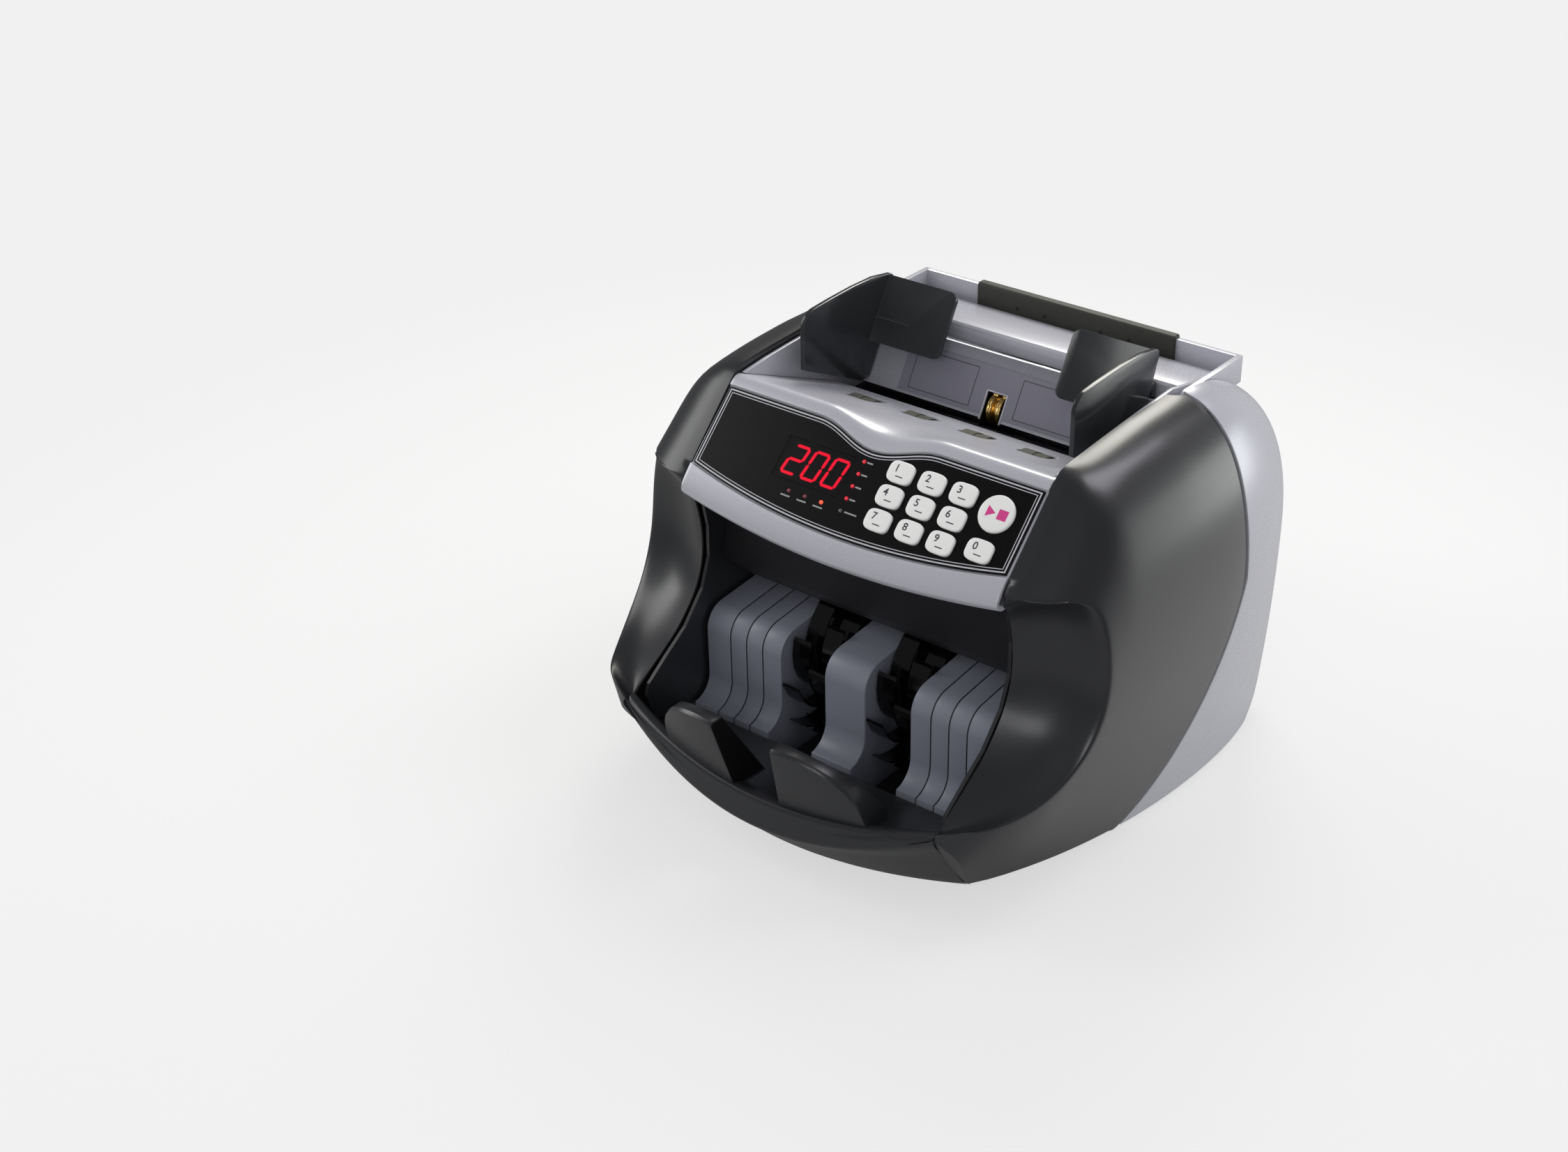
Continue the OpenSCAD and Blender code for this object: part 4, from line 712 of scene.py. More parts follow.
def at_sockets(p):
    """Local points of the socket plate, x to the viewer's right from behind, y up, z out of the rear."""
    p = np.asarray(p, float)
    y = p[:, 1] * math.cos(SOCKETS_TILT) - p[:, 2] * math.sin(SOCKETS_TILT)
    z = p[:, 1] * math.sin(SOCKETS_TILT) + p[:, 2] * math.cos(SOCKETS_TILT)
    return np.column_stack([SOCKETS_X - p[:, 0], SOCKETS_Y - y, SOCKETS_Z + z])


def rear_skin():
    """Rear cover as a grid: rows run from seam to seam over the back, whose side view is the rear
    circle above and the rear outline's curve below. Its edge stands a little behind the seam."""
    t = np.linspace(0, 1, 121)
    upper = np.radians(90 * (1 - 2 * np.minimum(t, 0.5)))
    z_low = WIDEST_Z + (FLOOR_GAP - WIDEST_Z) * (2 * np.maximum(t, 0.5) - 1)
    back = np.where((t < 0.5)[:, None],
                    np.column_stack([REAR_Y + REAR_R * np.cos(upper), REAR_Z + REAR_R * np.sin(upper)]),
                    np.column_stack([rear_y(z_low), z_low]))
    seam = seam_at(t) + np.column_stack([2.4 + 1.8 * np.sin(np.pi * t), np.zeros(len(t))])
    u = (np.linspace(0, 1, 49) ** 1.7)[None, :, None]
    half = with_x(back[:, None] + (seam - back)[:, None] * u)
    grid = np.concatenate([half[:, ::-1] * (-1, 1, 1), half], 1)
    weight = np.full(grid.shape[:2], 0.5)
    weight[:, :3] = weight[:, -3:] = 0.0
    return relaxed(grid, 6, weight)


def seam_lip():
    """Painted shade behind the seam: a dark strip that follows it 2.2 mm under the skin and closes the gap,
    standing in for the shadow in it.
    """
    line = seam_at(np.linspace(0.03, 0.97, 61))[:, None]
    return with_x(line + [[-3, 0], [0, 0], [3, 0], [6, 0]]) - (2.2, 0, 0)


# painted shade: the dark strip in the seam's gap, 0.6 mm thick, on each side
lip = closed_wall(seam_lip(), 0.6)
for side, sign in SIDES:
    piece(side + "_seam_lip", on_side(lip, sign), black_lining_and_shade)

rear = piece("rear_cover_skin", closed_wall(rear_skin(), -2.4), silver,
             stands_for=("rear_cover",))
cut(rear, block(-NOTCH_X, NOTCH_X, *NOTCH_Y, *NOTCH_Z, as_it_is))
cut(rear, block(-SOCKETS_W / 2, SOCKETS_W / 2, -SOCKETS_H / 2, SOCKETS_H / 2, -12, 12, at_sockets))
rounded(rear, 0.5, angle=50)


# ---- control panel -----------------------------------------------------------------------------
OVERLAY_LEN, BOW, SCOOP, SCOOP_HALF = 54.3, 11.7, 7.6, 37.0
RIDGE_DIP, DIP_RUN = 6.8, 34.0
DECK_TILT = math.radians(22.9)
DECK_END = 35.5


def at_panel(p):
    """Local points on the panel, x across, y up the slope from its upper edge, z above it."""
    p = np.asarray(p, float)
    return np.column_stack([p[:, 0], on_panel(-p[:, 1], p[:, 2])])


def scoop_share(x):
    """The finger scoop's share at x: a squared cosine over its half-width."""
    return np.where(np.abs(x) < SCOOP_HALF, np.cos(np.radians(90 * x / SCOOP_HALF)) ** 2, 0)


def overlay_low(x):
    """Distance down the panel of the overlay's bowed lower edge."""
    return OVERLAY_LEN - BOW * (x / HALF_DECK) ** 2


def overlay_top(x):
    """Distance down the panel of the overlay's upper edge, which goes round the scoop."""
    return -1 + (SCOOP + 1) * scoop_share(x)


def deck_z(y):
    """Height of the hopper floor's plane at y."""
    return RIDGE_Z - (y - RIDGE_Y) * math.tan(DECK_TILT)


def at_deck(p):
    """Local points on the hopper floor, x across, y down it from the ridge, z above it."""
    p = np.asarray(p, float)
    c, s = math.cos(DECK_TILT), math.sin(DECK_TILT)
    return np.column_stack([p[:, 0], RIDGE_Y + p[:, 1] * c + p[:, 2] * s,
                            RIDGE_Z - p[:, 1] * s + p[:, 2] * c])


def housing_skin():
    """Panel housing as a grid across X: each row rolls over the bezel, steps down under the overlay,
    climbs over the ridge and runs down the hopper floor, whose front dips in the middle. The roll and
    the ridge are then smoothed along the rows."""
    x = np.linspace(-HALF_DECK + 0.6, HALF_DECK - 0.6, 129)
    bezel = OVERLAY_LEN + 13.6 - 9 * (x / HALF_DECK) ** 2
    low, top = overlay_low(x), overlay_top(x)
    bends = ((9, -12), (4, -11), (1, -8.4), (0, -5), (0.8, -1.6), (3, 0.8))
    roll = np.stack([on_panel(bezel - d, h) for d, h in bends] + [on_panel(low + 1, 1.2)], 1)
    s = np.linspace(0, 6, 25)
    nose = np.stack([curve_at(row, s) for row in roll])
    step = np.stack([on_panel(low + 0.2, 0), on_panel((low + top) / 2, 0), on_panel(top - 0.2, 0)], 1)
    ridge = on_panel(RIDGE_S + RIDGE_DIP * scoop_share(x), 0.8)
    start = on_panel(top - 1, 1.2)
    climb = start[:, None] + (ridge - start)[:, None] * np.linspace(0, 1, 9)[None, :, None]
    y = ridge[:, :1] + (DECK_END - ridge[:, :1]) * np.linspace(0, 1, 33)[1:] ** 1.15
    fade = np.clip(1 - (y - ridge[:, :1]) / DIP_RUN, 0, 1) ** 2
    deck = np.stack([y, deck_z(y) - RIDGE_DIP * scoop_share(x)[:, None] * fade], -1)
    yz = np.concatenate([nose, step, climb, deck], 1)
    crest = nose.shape[1] + step.shape[1] + climb.shape[1] - 1
    soft = np.zeros(yz.shape[1])
    soft[2:nose.shape[1] - 1] = soft[crest - 6:crest + 12] = 0.5
    for _ in range(14):
        mean = (yz[:, :-2] + yz[:, 2:]) / 2
        yz[:, 1:-1] += (mean - yz[:, 1:-1]) * soft[1:-1, None]
    return np.concatenate([np.broadcast_to(x[:, None, None], (*yz.shape[:2], 1)), yz], -1)


# openings under the overlay, as (x0, x1, s0, s1): display and lamps, keys, lowest row of number keys
OPENINGS = ((-51, 12, 10.5, 44), (11, 89.6, 5.6, 43), (11, 66.5, 42, 46))
PICKUP_Y, PICKUP_R, PICKUP_DROP, PICKUP_X = 8.0, 12.0, 8.3, (-54, -18, 18, 54)
SLOT_AT = (PICKUP_Y - RIDGE_Y) / math.cos(DECK_TILT)
SLOT_WIDTH, SLOT_LEN = 17.4, 2 * math.sqrt(PICKUP_R**2 - PICKUP_DROP**2) + 2.4

housing = piece("panel_housing_skin", closed_wall(housing_skin(), 2.6), silver,
                stands_for=("panel_housing",))
for x0, x1, s0, s1 in OPENINGS:
    cut(housing, block(x0, x1, -s1, -s0, -9, 9, at_panel))
for x in PICKUP_X:
    cut(housing, prism(soft_outline(SLOT_WIDTH, SLOT_LEN, 6, 28) + (x, SLOT_AT), -8, 8, at_deck))
rounded(housing, 0.35, angle=42)


# ---- note tray ---------------------------------------------------------------------------------
def tray_skin():
    """Front tray as a grid across X: each row climbs the bumper, crosses its dark band to the lip and
    runs back along the pocket floor; the lip follows a parabola in plan and in height."""
    u = np.linspace(-1, 1, 97)
    one = np.ones_like(u)
    nose = np.column_stack([-157 + 17 * u**2, 29 + 22 * u**2])
    foot = np.column_stack([-132.5 + 26.5 * u**2, FLOOR_GAP * one])
    top = nose + np.column_stack([2.4 * one, 11 * (1 - u**2) + 0.6])
    lip_back = top + (6, 0.4)
    rows = [foot + (5, 0), foot, foot * 0.65 + nose * 0.35 - (1, 0), foot * 0.3 + nose * 0.7 - (1.2, 0),
            nose + (0.5, -3.2), nose + (0.5, 1.8), nose * 0.4 + top * 0.6, top, top + (2.4, 1.2), lip_back,
            lip_back * 0.5 + (-63, 15)]
    floor_line = ((-124, 31.5), (-110, 28), (-100, 26.4), (-94.4, 26.4))
    rows = np.stack(rows + [np.column_stack([y * one, z * one]) for y, z in floor_line], 1)
    s = np.linspace(0, rows.shape[1] - 1, 71)
    yz = np.stack([curve_at(row, s) for row in rows])
    x = u[:, None] * (toe_side(yz[..., 1]) + 0.7)
    return np.concatenate([x[..., None], yz], -1)


tray = piece("front_tray_skin", closed_wall(tray_skin(), 2.6), charcoal,
             stands_for=("front_tray",))
rounded(tray, 0.4, angle=50)

STOP_GAP, STOP_RUN, STOP_HEIGHT = 14.5, 48.0, 40.0


def stop_sections():
    """Sections of a note stop from the finger gap outwards: its height falls as sqrt(1 - t^2.4)."""
    t = 1 - (1 - np.linspace(0, 1, 33)) ** 2
    x = STOP_GAP + STOP_RUN * t
    h = STOP_HEIGHT * np.sqrt(1 - t**2.4) + 0.8
    y, z = -152 + 17 * (x / HALF_DECK) ** 2, 41 + 3 * t
    lean, slope, thick = 0.28 * h, 0.66 * h, 24 - 6 * t
    over = x + 0.1 * h
    rows = [(over, y - lean, z + h - 1.5), (over, y - lean + 1.5, z + h), (over, y + thick - slope, z + h),
            (x, y + thick, z - 4), (x, y, z - 2)]
    return np.stack([np.stack(row, -1) for row in rows], 1)


def stop_facing(end):
    """Painted shade on a stop's inner end, where the finger gap is in shadow: a thin dark facing, the end
    section drawn in, from 0.12 mm before to 0.18 mm behind it."""
    face = end * 0.94 + end.mean(0) * 0.06 - (0.12, 0, 0)
    return loft(np.stack([face, face + (0.3, 0, 0)]))


sections = stop_sections()
for side, sign in SIDES:
    stop = piece(side + "_note_stop", on_side(loft(sections), sign), charcoal,
                 stands_for=("front_tray",))
    rounded(stop, 0.9, segments=3, angle=25)
    # painted shade: a dark facing on the stop's inner end, for the shadow in the finger gap
    piece(side + "_stop_facing", on_side(stop_facing(sections[0]), sign), black_lining_and_shade,
          stands_for=("front_tray",))


# ---- overlay, display and lamps ----------------------------------------------------------------
PRINT_LOW, PRINT_HIGH = 1.16, 1.24


def outline_ring(inset):
    """The overlay's outline drawn in by inset, as local panel points (x, -s)."""
    half = 96.2 - inset
    x = np.linspace(-half, half, 97)
    top = np.column_stack([x, -(overlay_top(x) + 0.2 + inset)])
    low = np.column_stack([x[::-1], -(overlay_low(x[::-1]) - 0.2 - inset)])
    return np.concatenate([top, low])


def printed_line(inset, width):
    """A flat printed line that follows the overlay's outline."""
    flat = np.concatenate([outline_ring(inset), outline_ring(inset + width)])
    n = len(flat) // 2
    k = np.arange(n)
    ahead = (k + 1) % n
    lift = [np.column_stack([flat, np.full(2 * n, h)]) for h in (PRINT_HIGH, PRINT_HIGH - 0.1)]
    top = np.stack([k, k + n, ahead + n, ahead], -1)
    outer_side = np.stack([k, ahead, ahead + 2 * n, k + 2 * n], -1)
    inner_side = np.stack([k + n, k + 3 * n, ahead + 3 * n, ahead + n], -1)
    under = top[:, ::-1] + 2 * n
    return at_panel(np.concatenate(lift)), np.concatenate([top, outer_side, inner_side, under]).tolist()


for name, inset, width in (("overlay_line_outer", 0.9, 0.75), ("overlay_line_inner", 2.6, 0.4)):
    piece(name, printed_line(inset, width), print_silver)

SEGMENTS = {"a": ((0, 1), (1, 1)), "b": ((1, 1), (1, 0)), "c": ((1, 0), (1, -1)), "d": ((0, -1), (1, -1)),
            "e": ((0, 0), (0, -1)), "f": ((0, 1), (0, 0)), "g": ((0, 0), (1, 0))}
LIT = ("abged", "abcdef", "abcdef")
DIGIT_X, DIGIT_S, DIGIT_PITCH = -40.4, 24.1, 12.5
DIGIT_W, DIGIT_H, STROKE, STROKE_GAP = 8.2, 7.5, 0.72, 0.18
SLANT = math.tan(math.radians(10))


def segment(ends, n):
    """One lit bar of digit n with pointed ends, sheared by the digits' slant."""
    a, b = (np.array([end[0] * DIGIT_W - DIGIT_W / 2, end[1] * DIGIT_H]) for end in ends)
    along = unit(b - a)
    side = np.array([-along[1], along[0]])
    a, b = a + along * STROKE_GAP, b - along * STROKE_GAP
    rim = np.array([a, a + (along + side) * STROKE, b - (along - side) * STROKE, b,
                    b - (along + side) * STROKE, a + (along - side) * STROKE])
    rim[:, 0] += rim[:, 1] * SLANT
    return prism(rim + (DIGIT_X + DIGIT_PITCH * n, -DIGIT_S), -0.3, 0.1, at_panel)


bars = [segment(SEGMENTS[letter], n) for n, letters in enumerate(LIT) for letter in letters]
piece("display_digits", joined(bars), digit_light, stands_for=("display_module",))
rounded(piece("display_body", block(-47, -9.5, -34.4, -14, -8, -0.35, at_panel), black_lining_and_shade,
              stands_for=("display_module",)), 0.4)

LAMPS = [(-2.2, 13.8 + 6.75 * k) for k in range(5)] + [(-35 + 10.2 * k, 40.1) for k in range(3)]
LENS_R, LENS_FOOT, LENS_EDGE, LENS_DOME = 1.0, -2.0, 1.25, 0.4


def lens(x, s):
    """A lamp lens: a rod whose end is a low elliptic dome."""
    bend = np.linspace(0, np.pi / 2, 7)[:-1]
    dome = [(LENS_R * math.cos(b), LENS_EDGE + LENS_DOME * math.sin(b)) for b in bend]
    profile = [(LENS_R, LENS_FOOT)] + dome + [(0.05, LENS_EDGE + LENS_DOME)]
    return turned(profile, 24, lambda p: at_panel(p + (x, -s, 0)))


for name, which, finish in (("lamps_lit", (0, 1, 2, 3), lamp_red), ("lamp_full", (7,), lamp_bright),
                            ("lamps_dim", (5, 6), lamp_dim), ("lamp_unlit", (4,), lamp_off)):
    piece(name, joined([lens(*LAMPS[k]) for k in which]), finish, stands_for=("status_leds",))

CAPTIONS = [(x + 1.9, x + 5.4, -s - 0.42, -s + 0.42) for x, s in LAMPS[:4]] + [(0.2, 7.6, -41.2, -40.4)]
CAPTIONS += [(x - 3.6, x + 2.2, -s - 3.3, -s - 2.5) for x, s in LAMPS[5:]]
bars = [block(*caption, PRINT_LOW, PRINT_HIGH, at_panel) for caption in CAPTIONS]
piece("lamp_captions", joined(bars), print_grey)


# ---- keys --------------------------------------------------------------------------------------
KEY_SIZE, START_SIZE, KEY_TOP = (14.6, 11.4), (19.2, 19.2), 2.8
KEYS = {n + 1: (20.2 + 18.5 * (n % 3), 13.3 + 13 * (n // 3)) for n in range(9)} | {0: (78.0, 36.4)}
START = (78.0, 17.0)
NUMERAL = 5.4


def key_form(size, x, s, roll, power, n):
    """A key cap: soft outlines stacked up the sides, then drawn in along a quarter circle of radius
    roll to a faintly domed top."""
    bend = np.linspace(0, np.pi / 2, 7)
    top = KEY_TOP - 0.1
    inset = np.concatenate([[0, 0], roll * (1 - np.cos(bend)), [roll + 1.6, roll + 3.2]])
    shoulder = top - roll
    level = np.concatenate([[-1, shoulder - 0.2], shoulder + roll * np.sin(bend), [top + 0.07, top + 0.1]])
    outlines = [soft_outline(size[0] - 2 * d, size[1] - 2 * d, power, n) + (x, -s) for d in inset]
    points, faces = loft(np.stack([np.column_stack([o, np.full(n, h)]) for o, h in zip(outlines, level)]))
    return at_panel(points), faces


def numeral(text, name, x, s):
    """The mesh of a printed character on a key, its middle at x across and s down the panel."""
    data = bpy.data.curves.new(name, "FONT")
    data.body, data.size, data.extrude, data.offset = text, NUMERAL * MM, 0.00004, 0.00006
    data.align_x, data.align_y, data.resolution_u = "CENTER", "CENTER", 6
    holder = added(name, data)
    bpy.context.view_layer.update()
    mesh = bpy.data.meshes.new_from_object(holder.evaluated_get(bpy.context.evaluated_depsgraph_get()))
    bpy.data.objects.remove(holder)
    co = np.empty(len(mesh.vertices) * 3, np.float32)
    mesh.vertices.foreach_get("co", co)
    local = co.reshape(-1, 3) / MM + (x, -s, KEY_TOP + 0.02)
    mesh.vertices.foreach_set("co", (at_panel(local) * MM).astype(np.float32).ravel())
    mesh.update()
    mesh.materials.clear()
    return mesh


for n, (x, s) in KEYS.items():
    key = f"key_{n}"
    cap = key_form(KEY_SIZE, x, s, roll=0.9, power=3.4, n=56)
    piece(key + "_cap", cap, key_white, key, (key,))
    dress(key + "_numeral", numeral(str(n), key, x - 2.4, s - 1.4), print_line, key)
    bar = block(x - 1.6, x + 2.6, -s - 2.75, -s - 2.2, KEY_TOP - 0.1, KEY_TOP + 0.03, at_panel)
    piece(key + "_mark", bar, print_line, key)


def start_sign():
    """The start triangle, its corners 120 degrees apart on a circle, and the stop square beside it."""
    corners = np.radians([0, 120, 240])
    triangle = np.column_stack([3.3 * np.cos(corners) - 3.4, 3.3 * np.sin(corners)])
    square = [(1.2, -2.6), (6.4, -2.6), (6.4, 2.6), (1.2, 2.6)]
    return joined([prism(np.add(shape, (START[0], -START[1])), KEY_TOP - 0.1, KEY_TOP + 0.04, at_panel)
                   for shape in (triangle, square)])


piece("start_key_cap", key_form(START_SIZE, *START, roll=1.2, power=2.0, n=72), key_white,
      "start_key", ("start_key",))
piece("start_key_sign", start_sign(), print_magenta, "start_key")


# ---- hopper ------------------------------------------------------------------------------------
WALL_LEAN = math.radians(30)
WALL_FOOT = np.array([45.0, float(deck_z(DECK_END)) - 5])
WALL_UP = np.array([math.sin(WALL_LEAN), math.cos(WALL_LEAN)])
WALL_BACK = np.array([math.cos(WALL_LEAN), -math.sin(WALL_LEAN)])
FIELDS, FIELD_Y, FIELD_LINE = ((-57, -17), (11, 58)), (8.2, 30), 0.45
WINDOW_X, WELL_Y, WELL_DEPTH = -2.0, (0.5, 21), 19.0
TRIM_Y, TRIM_W, TRIM_HALF = (3.4, 19.6), 0.9, 6.4


def at_wall(p):
    """Local points on the hopper's back wall, x across, y up its slope, z out of it."""
    p = np.asarray(p, float)
    return np.column_stack([p[:, 0], WALL_FOOT + p[:, 1:2] * WALL_UP - p[:, 2:3] * WALL_BACK])


def field(x0, x1):
    """The four thin bars of an outlined field on the label."""
    y0, y1 = FIELD_Y
    bars = [(x0, x1, y0, y0 + FIELD_LINE), (x0, x1, y1 - FIELD_LINE, y1),
            (x0, x0 + FIELD_LINE, y0 + FIELD_LINE, y1 - FIELD_LINE),
            (x1 - FIELD_LINE, x1, y0 + FIELD_LINE, y1 - FIELD_LINE)]
    return joined([block(*bar, 0.45, 0.54, at_wall) for bar in bars])


def wheel_well():
    """Painted shade behind the adjusting wheel's window: dark cheeks and back of the well, standing in for
    the shadow inside it.
    """
    cheeks = [block(x - 0.1, x + 0.1, *WELL_Y, -WELL_DEPTH, -0.4, at_wall)
              for x in (WINDOW_X - 5.9, WINDOW_X + 5.9)]
    back = block(WINDOW_X - 6, WINDOW_X + 6, *WELL_Y, -WELL_DEPTH - 0.4, -WELL_DEPTH, at_wall)
    return joined(cheeks + [back])


def window_trim():
    """The trim round the sides and the top of the window."""
    left, right = WINDOW_X - TRIM_HALF, WINDOW_X + TRIM_HALF
    posts = [block(x - TRIM_W / 2, x + TRIM_W / 2, *TRIM_Y, -1, 0.7, at_wall) for x in (left, right)]
    return joined(posts + [block(left, right, TRIM_Y[1] - 0.6, TRIM_Y[1] + 0.3, -1, 0.7, at_wall)])


def at_wheel(p):
    """Local points on the adjusting wheel: z along the machine's X axis."""
    p = np.asarray(p, float)
    middle = WALL_FOOT + 11.5 * WALL_UP + 8.6 * WALL_BACK
    return np.column_stack([WINDOW_X + p[:, 2], middle[0] + p[:, 0], middle[1] + p[:, 1]])


piece("label_fields", joined([field(*ends) for ends in FIELDS]), print_line)
# painted shade: dark cheeks and back inside the wheel's window
piece("wheel_well", wheel_well(), black_lining_and_shade)
rounded(piece("window_trim", window_trim(), silver), 0.3)

# one half of the wheel's grooved profile, as (radius, distance from its middle)
WHEEL = [(7.3, 0), (6.8, 0.4), (6.8, 1.1), (8.2, 1.2), (8.8, 1.5), (9, 2.2), (8.5, 2.9), (9, 3.6), (8.8, 4.1),
         (8.2, 4.4), (2, 4.4), (2, 9)]
profile = [(r, -h) for r, h in WHEEL[:0:-1]] + WHEEL
piece("adjusting_wheel_turned", turned(profile, 96, at_wheel), brass, "adjuster",
      ("adjusting_wheel",), sharp=60)

from_node("hopper_back_wall", silver, "silver_plastic", width=0.7, segments=3)
from_node("hopper_side_walls", silver, "silver_plastic", width=0.4)
from_node("top_cover", silver, "silver_plastic", width=0.9, segments=3, angle=25)
for node in ("left_hopper_guide", "right_hopper_guide"):
    # the bevel's faces take the second finish, a painted highlight along the guides' edges
    from_node(node, (smoke, smoke_edge_highlight), "smoke_plastic", width=0.55, material=1)

# ---- handle ------------------------------------------------------------------------------------
GRIP_HALF, GRIP_ROLL, GRIP_Y, GRIP_Z, GRIP_SIZE = 63.5, 1.2, 126.0, 198.1, (6.7, 18.6)


def grip_form():
    """The soft grip: a rounded section of power 6 along X, drawn in by a small radius at both ends."""
    bend = np.linspace(0, np.pi / 2, 6)
    out, drawn = GRIP_ROLL * (1 - np.sin(bend)), GRIP_ROLL * (1 - np.cos(bend))
    x = np.concatenate([-GRIP_HALF + out[::-1], [-20, 20], GRIP_HALF - out])
    rings = []
    for at, inset in zip(x, np.concatenate([drawn[::-1], [0, 0], drawn])):
        outline = soft_outline(GRIP_SIZE[0] - 2 * inset, GRIP_SIZE[1] - 2 * inset, 6, 48)
        rings.append(np.column_stack([np.full(48, at), outline + (GRIP_Y, GRIP_Z)]))
    return loft(np.stack(rings))


from_node("folding_handle", silver, "silver_plastic", width=0.6, segments=3)
piece("handle_grip_moulded", grip_form(), grip_rubber, "handle", ("handle_grip",))

# ---- stacker and inside ------------------------------------------------------------------------
for node in ("left_stacker_guide", "middle_stacker_guide", "right_stacker_guide"):
    from_node(node, slate, "slate_plastic", width=1.2, segments=3, angle=50)
for node in ("left_stacker_wheel", "right_stacker_wheel"):
    from_node(node, wheel_black, "gloss_black_plastic", width=0.2, segments=1, angle=60)
from_node("base_plate", charcoal, "charcoal_plastic", width=0.6, angle=60)
from_node("feet", black_rubber, "black_rubber", width=0.9, segments=3, angle=50)
from_node("base_screws", bright_steel, "bright_steel", width=0.5, angle=50)
from_node("pocket_guard", black_steel, "black_steel", width=0.2, angle=50)

# ---- rear sockets ------------------------------------------------------------------------------
INLET_X, ROCKER_X = -16.0, 14.0
PIN = [(0.95, -10.6), (0.95, -2.2), (0.7, -1.7), (0.2, -1.5)]
RING_R, RING_LINE, RING_LOW, RING_HIGH = 6.6, 0.4, -0.1, 0.06
RING = [(RING_R, RING_LOW), (RING_R, RING_HIGH), (RING_R - RING_LINE, RING_HIGH),
        (RING_R - RING_LINE, RING_LOW), (RING_R, RING_LOW)]


def at_inlet(p):
    """Local points round the inlet's axis."""
    return at_sockets(p + (INLET_X, 0, 0))


from_node("io_plate", gloss_black, "gloss_black_plastic", width=0.4, angle=50)
from_node("power_rocker", gloss_black, "gloss_black_plastic", width=0.5, segments=3)
from_node("dc_inlet", gloss_black, "gloss_black_plastic", width=0.3, angle=50)
piece("inlet_pin", turned(PIN, 24, at_inlet), bright_steel)
piece("rocker_bar", block(ROCKER_X - 0.35, ROCKER_X + 0.35, -6.6, -3.4, 5.0, 5.25, at_sockets), print_white,
      "rocker")
piece("inlet_ring", turned(RING, 28, at_inlet, capped=False), print_white)

# ---- finishes of the CAD nodes that stay -------------------------------------------------------
KEPT = {
    "panel_overlay": overlay_film, "display_window": window_film, "label_plate": label_film,
    "panel_pcb": circuit_board, "main_pcb": circuit_board, "side_frames": charcoal, "tie_bars": bright_steel,
    "shaft_bushes": bronze, "stacker_shaft": bright_steel, "stacker_motor_pulley": bright_steel,
    "pickup_shaft": bright_steel, "pickup_rollers": roller_olive, "feed_shaft": bright_steel,
    "feed_rollers": roller_olive, "separator": roller_dark, "transport_shaft": bright_steel,
    "pinch_shaft": bright_steel, "drive_motors": bright_steel, "motor_pulley": bright_steel,
    "drive_belts": black_rubber, "guide_rail": bright_steel,
}
for node, finish in KEPT.items():
    for slot in frame["nodes"][node].material_slots:
        slot.material = finish

# ---- floor, light and sky ----------------------------------------------------------------------
PALE = 0.879
FLOOR_HALF = 1.2
FADE_FROM, FADE_TO, FADE_SHARE = 0.3, 0.75, 0.32


def floor_finish():
    """Pale floor that fades into the equally pale sky away from the machine."""
    f = Finish("floor")
    x, y, _ = f.axes(f.place())
    far = f.node("ShaderNodeMath", {"operation": "SQRT"}, {0: x * x + y * y})
    fade = f.node("ShaderNodeMapRange", {"interpolation_type": "SMOOTHSTEP"},
                  {"Value": far, "From Min": FADE_FROM, "From Max": FADE_TO,
                   "To Min": FADE_SHARE, "To Max": 0.0})
    grain = f.noise(f.place(), scale=500.0)
    white = f.blend(grain, (0.88, 0.88, 0.88), (0.9, 0.9, 0.9))
    paper = f.node("ShaderNodeBsdfDiffuse", {}, {"Color": white})
    clear = f.node("ShaderNodeBsdfTransparent")
    mixed = f.node("ShaderNodeMixShader", {}, {0: fade, 1: clear, 2: paper})
    f.node("ShaderNodeOutputMaterial", {}, {"Surface": mixed})
    return f.material


mesh = bpy.data.meshes.new("floor")
mesh.from_pydata([(-FLOOR_HALF, -FLOOR_HALF, 0), (FLOOR_HALF, -FLOOR_HALF, 0), (FLOOR_HALF, FLOOR_HALF, 0),
                  (-FLOOR_HALF, FLOOR_HALF, 0)], [], [(0, 1, 2, 3)])
mesh.materials.append(floor_finish())
added("floor", mesh)

AIM = Vector((0.0, 0.0, 0.11))


def lamp(name, at, width, height, power, colour=(1.0, 1.0, 1.0)):
    """A soft box turned towards the machine's middle."""
    data = bpy.data.lights.new(name, "AREA")
    data.shape, data.size, data.size_y, data.energy, data.color = "RECTANGLE", width, height, power, colour
    made = added(name, data)
    made.location = at
    made.rotation_mode = "QUATERNION"
    made.rotation_quaternion = (AIM - Vector(at)).to_track_quat("-Z", "Y")


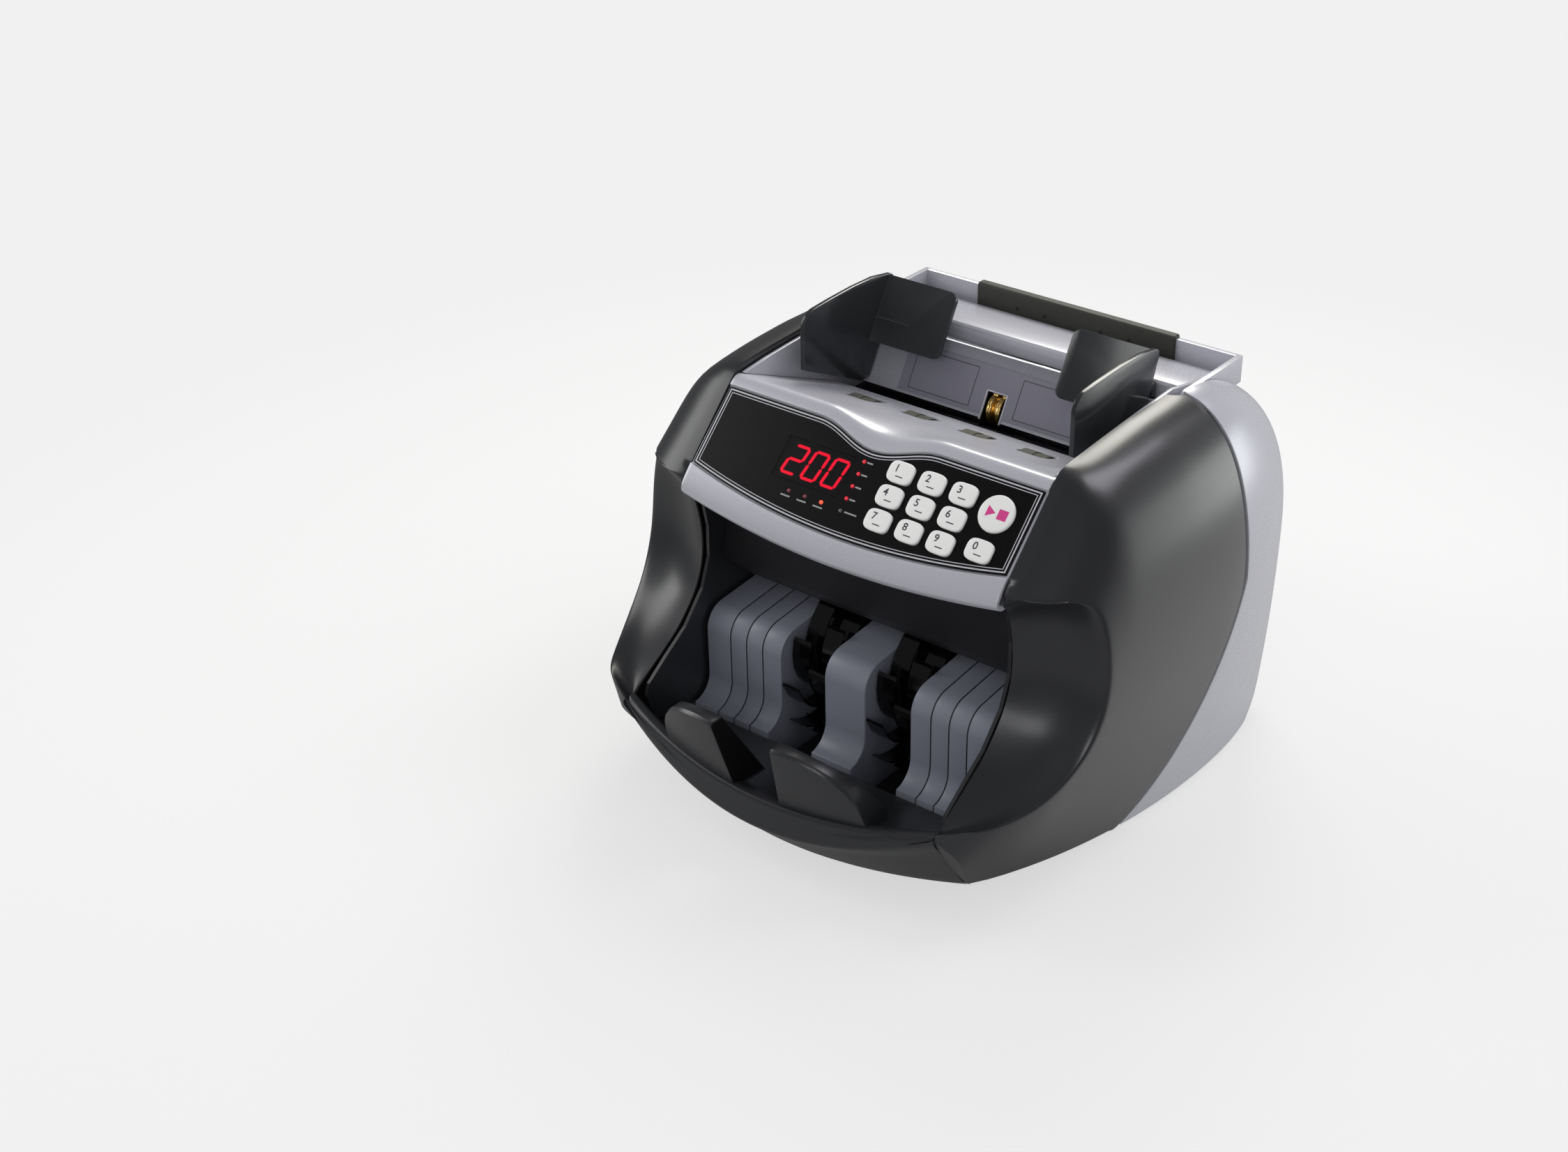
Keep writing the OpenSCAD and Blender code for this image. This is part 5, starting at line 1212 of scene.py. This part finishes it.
lamp("top_box", (0.4, 0.62, 1.15), width=0.4, height=0.7, power=4.5, colour=(0.93, 0.92, 1.0))
lamp("crown_box", (-0.48, 1.07, 1.05), width=0.6, height=0.6, power=10.0, colour=(1.0, 0.98, 0.9))
lamp("right_box", (0.95, 1.35, 0.14), width=0.5, height=0.6, power=3.0, colour=(0.97, 1.0, 0.98))
lamp("left_box", (-1.15, -0.5, 0.7), width=0.5, height=0.9, power=5.0)
lamp("front_box", (0.5, -1.5, 0.9), width=0.9, height=0.5, power=4.5, colour=(0.97, 0.98, 1.0))

GLOW_TOWARDS, GLOW_FROM, GLOW_LOW = (0.5, 0.82, -0.25), 0.6, 0.14
SKY_LIGHT = 0.5


def light_sky():
    """An even pale sky: as bright as the floor where it is seen, dimmer where it lights. Glossy
    reflections see it dark, with a glow that grows towards one direction behind the machine."""
    world = bpy.data.worlds.new("studio")
    world.use_nodes = True
    scene.world = world
    sky = Nodes(world.node_tree)
    seen_ray, glossy_ray, clear_ray = (sky.node("ShaderNodeLightPath", out=f"Is {kind} Ray")
                                       for kind in ("Camera", "Glossy", "Transmission"))
    facing = sky.node("ShaderNodeVectorMath", {"operation": "DOT_PRODUCT"},
                      {0: sky.node("ShaderNodeTexCoord", out="Generated"), 1: GLOW_TOWARDS}, out="Value")
    glow_share = sky.node("ShaderNodeMapRange", {},
                          {"Value": facing, "From Min": GLOW_FROM, "From Max": 1.0,
                           "To Min": GLOW_LOW, "To Max": PALE})
    white = (1, 1, 1, 1)
    lit = sky.node("ShaderNodeBackground", {}, {"Color": white, "Strength": SKY_LIGHT})
    shine = sky.node("ShaderNodeBackground", {}, {"Color": white, "Strength": glow_share})
    seen = sky.node("ShaderNodeBackground", {}, {"Color": (PALE, PALE, PALE, 1)})
    unseen = sky.node("ShaderNodeMixShader", {}, {0: glossy_ray, 1: lit, 2: shine})
    direct = sky.node("ShaderNodeMath", {"operation": "MAXIMUM"}, {0: seen_ray, 1: clear_ray})
    both = sky.node("ShaderNodeMixShader", {}, {0: direct, 1: unseen, 2: seen})
    sky.node("ShaderNodeOutputWorld", {}, {"Surface": both})


light_sky()
place_camera()
scene.view_settings.view_transform = "Standard"
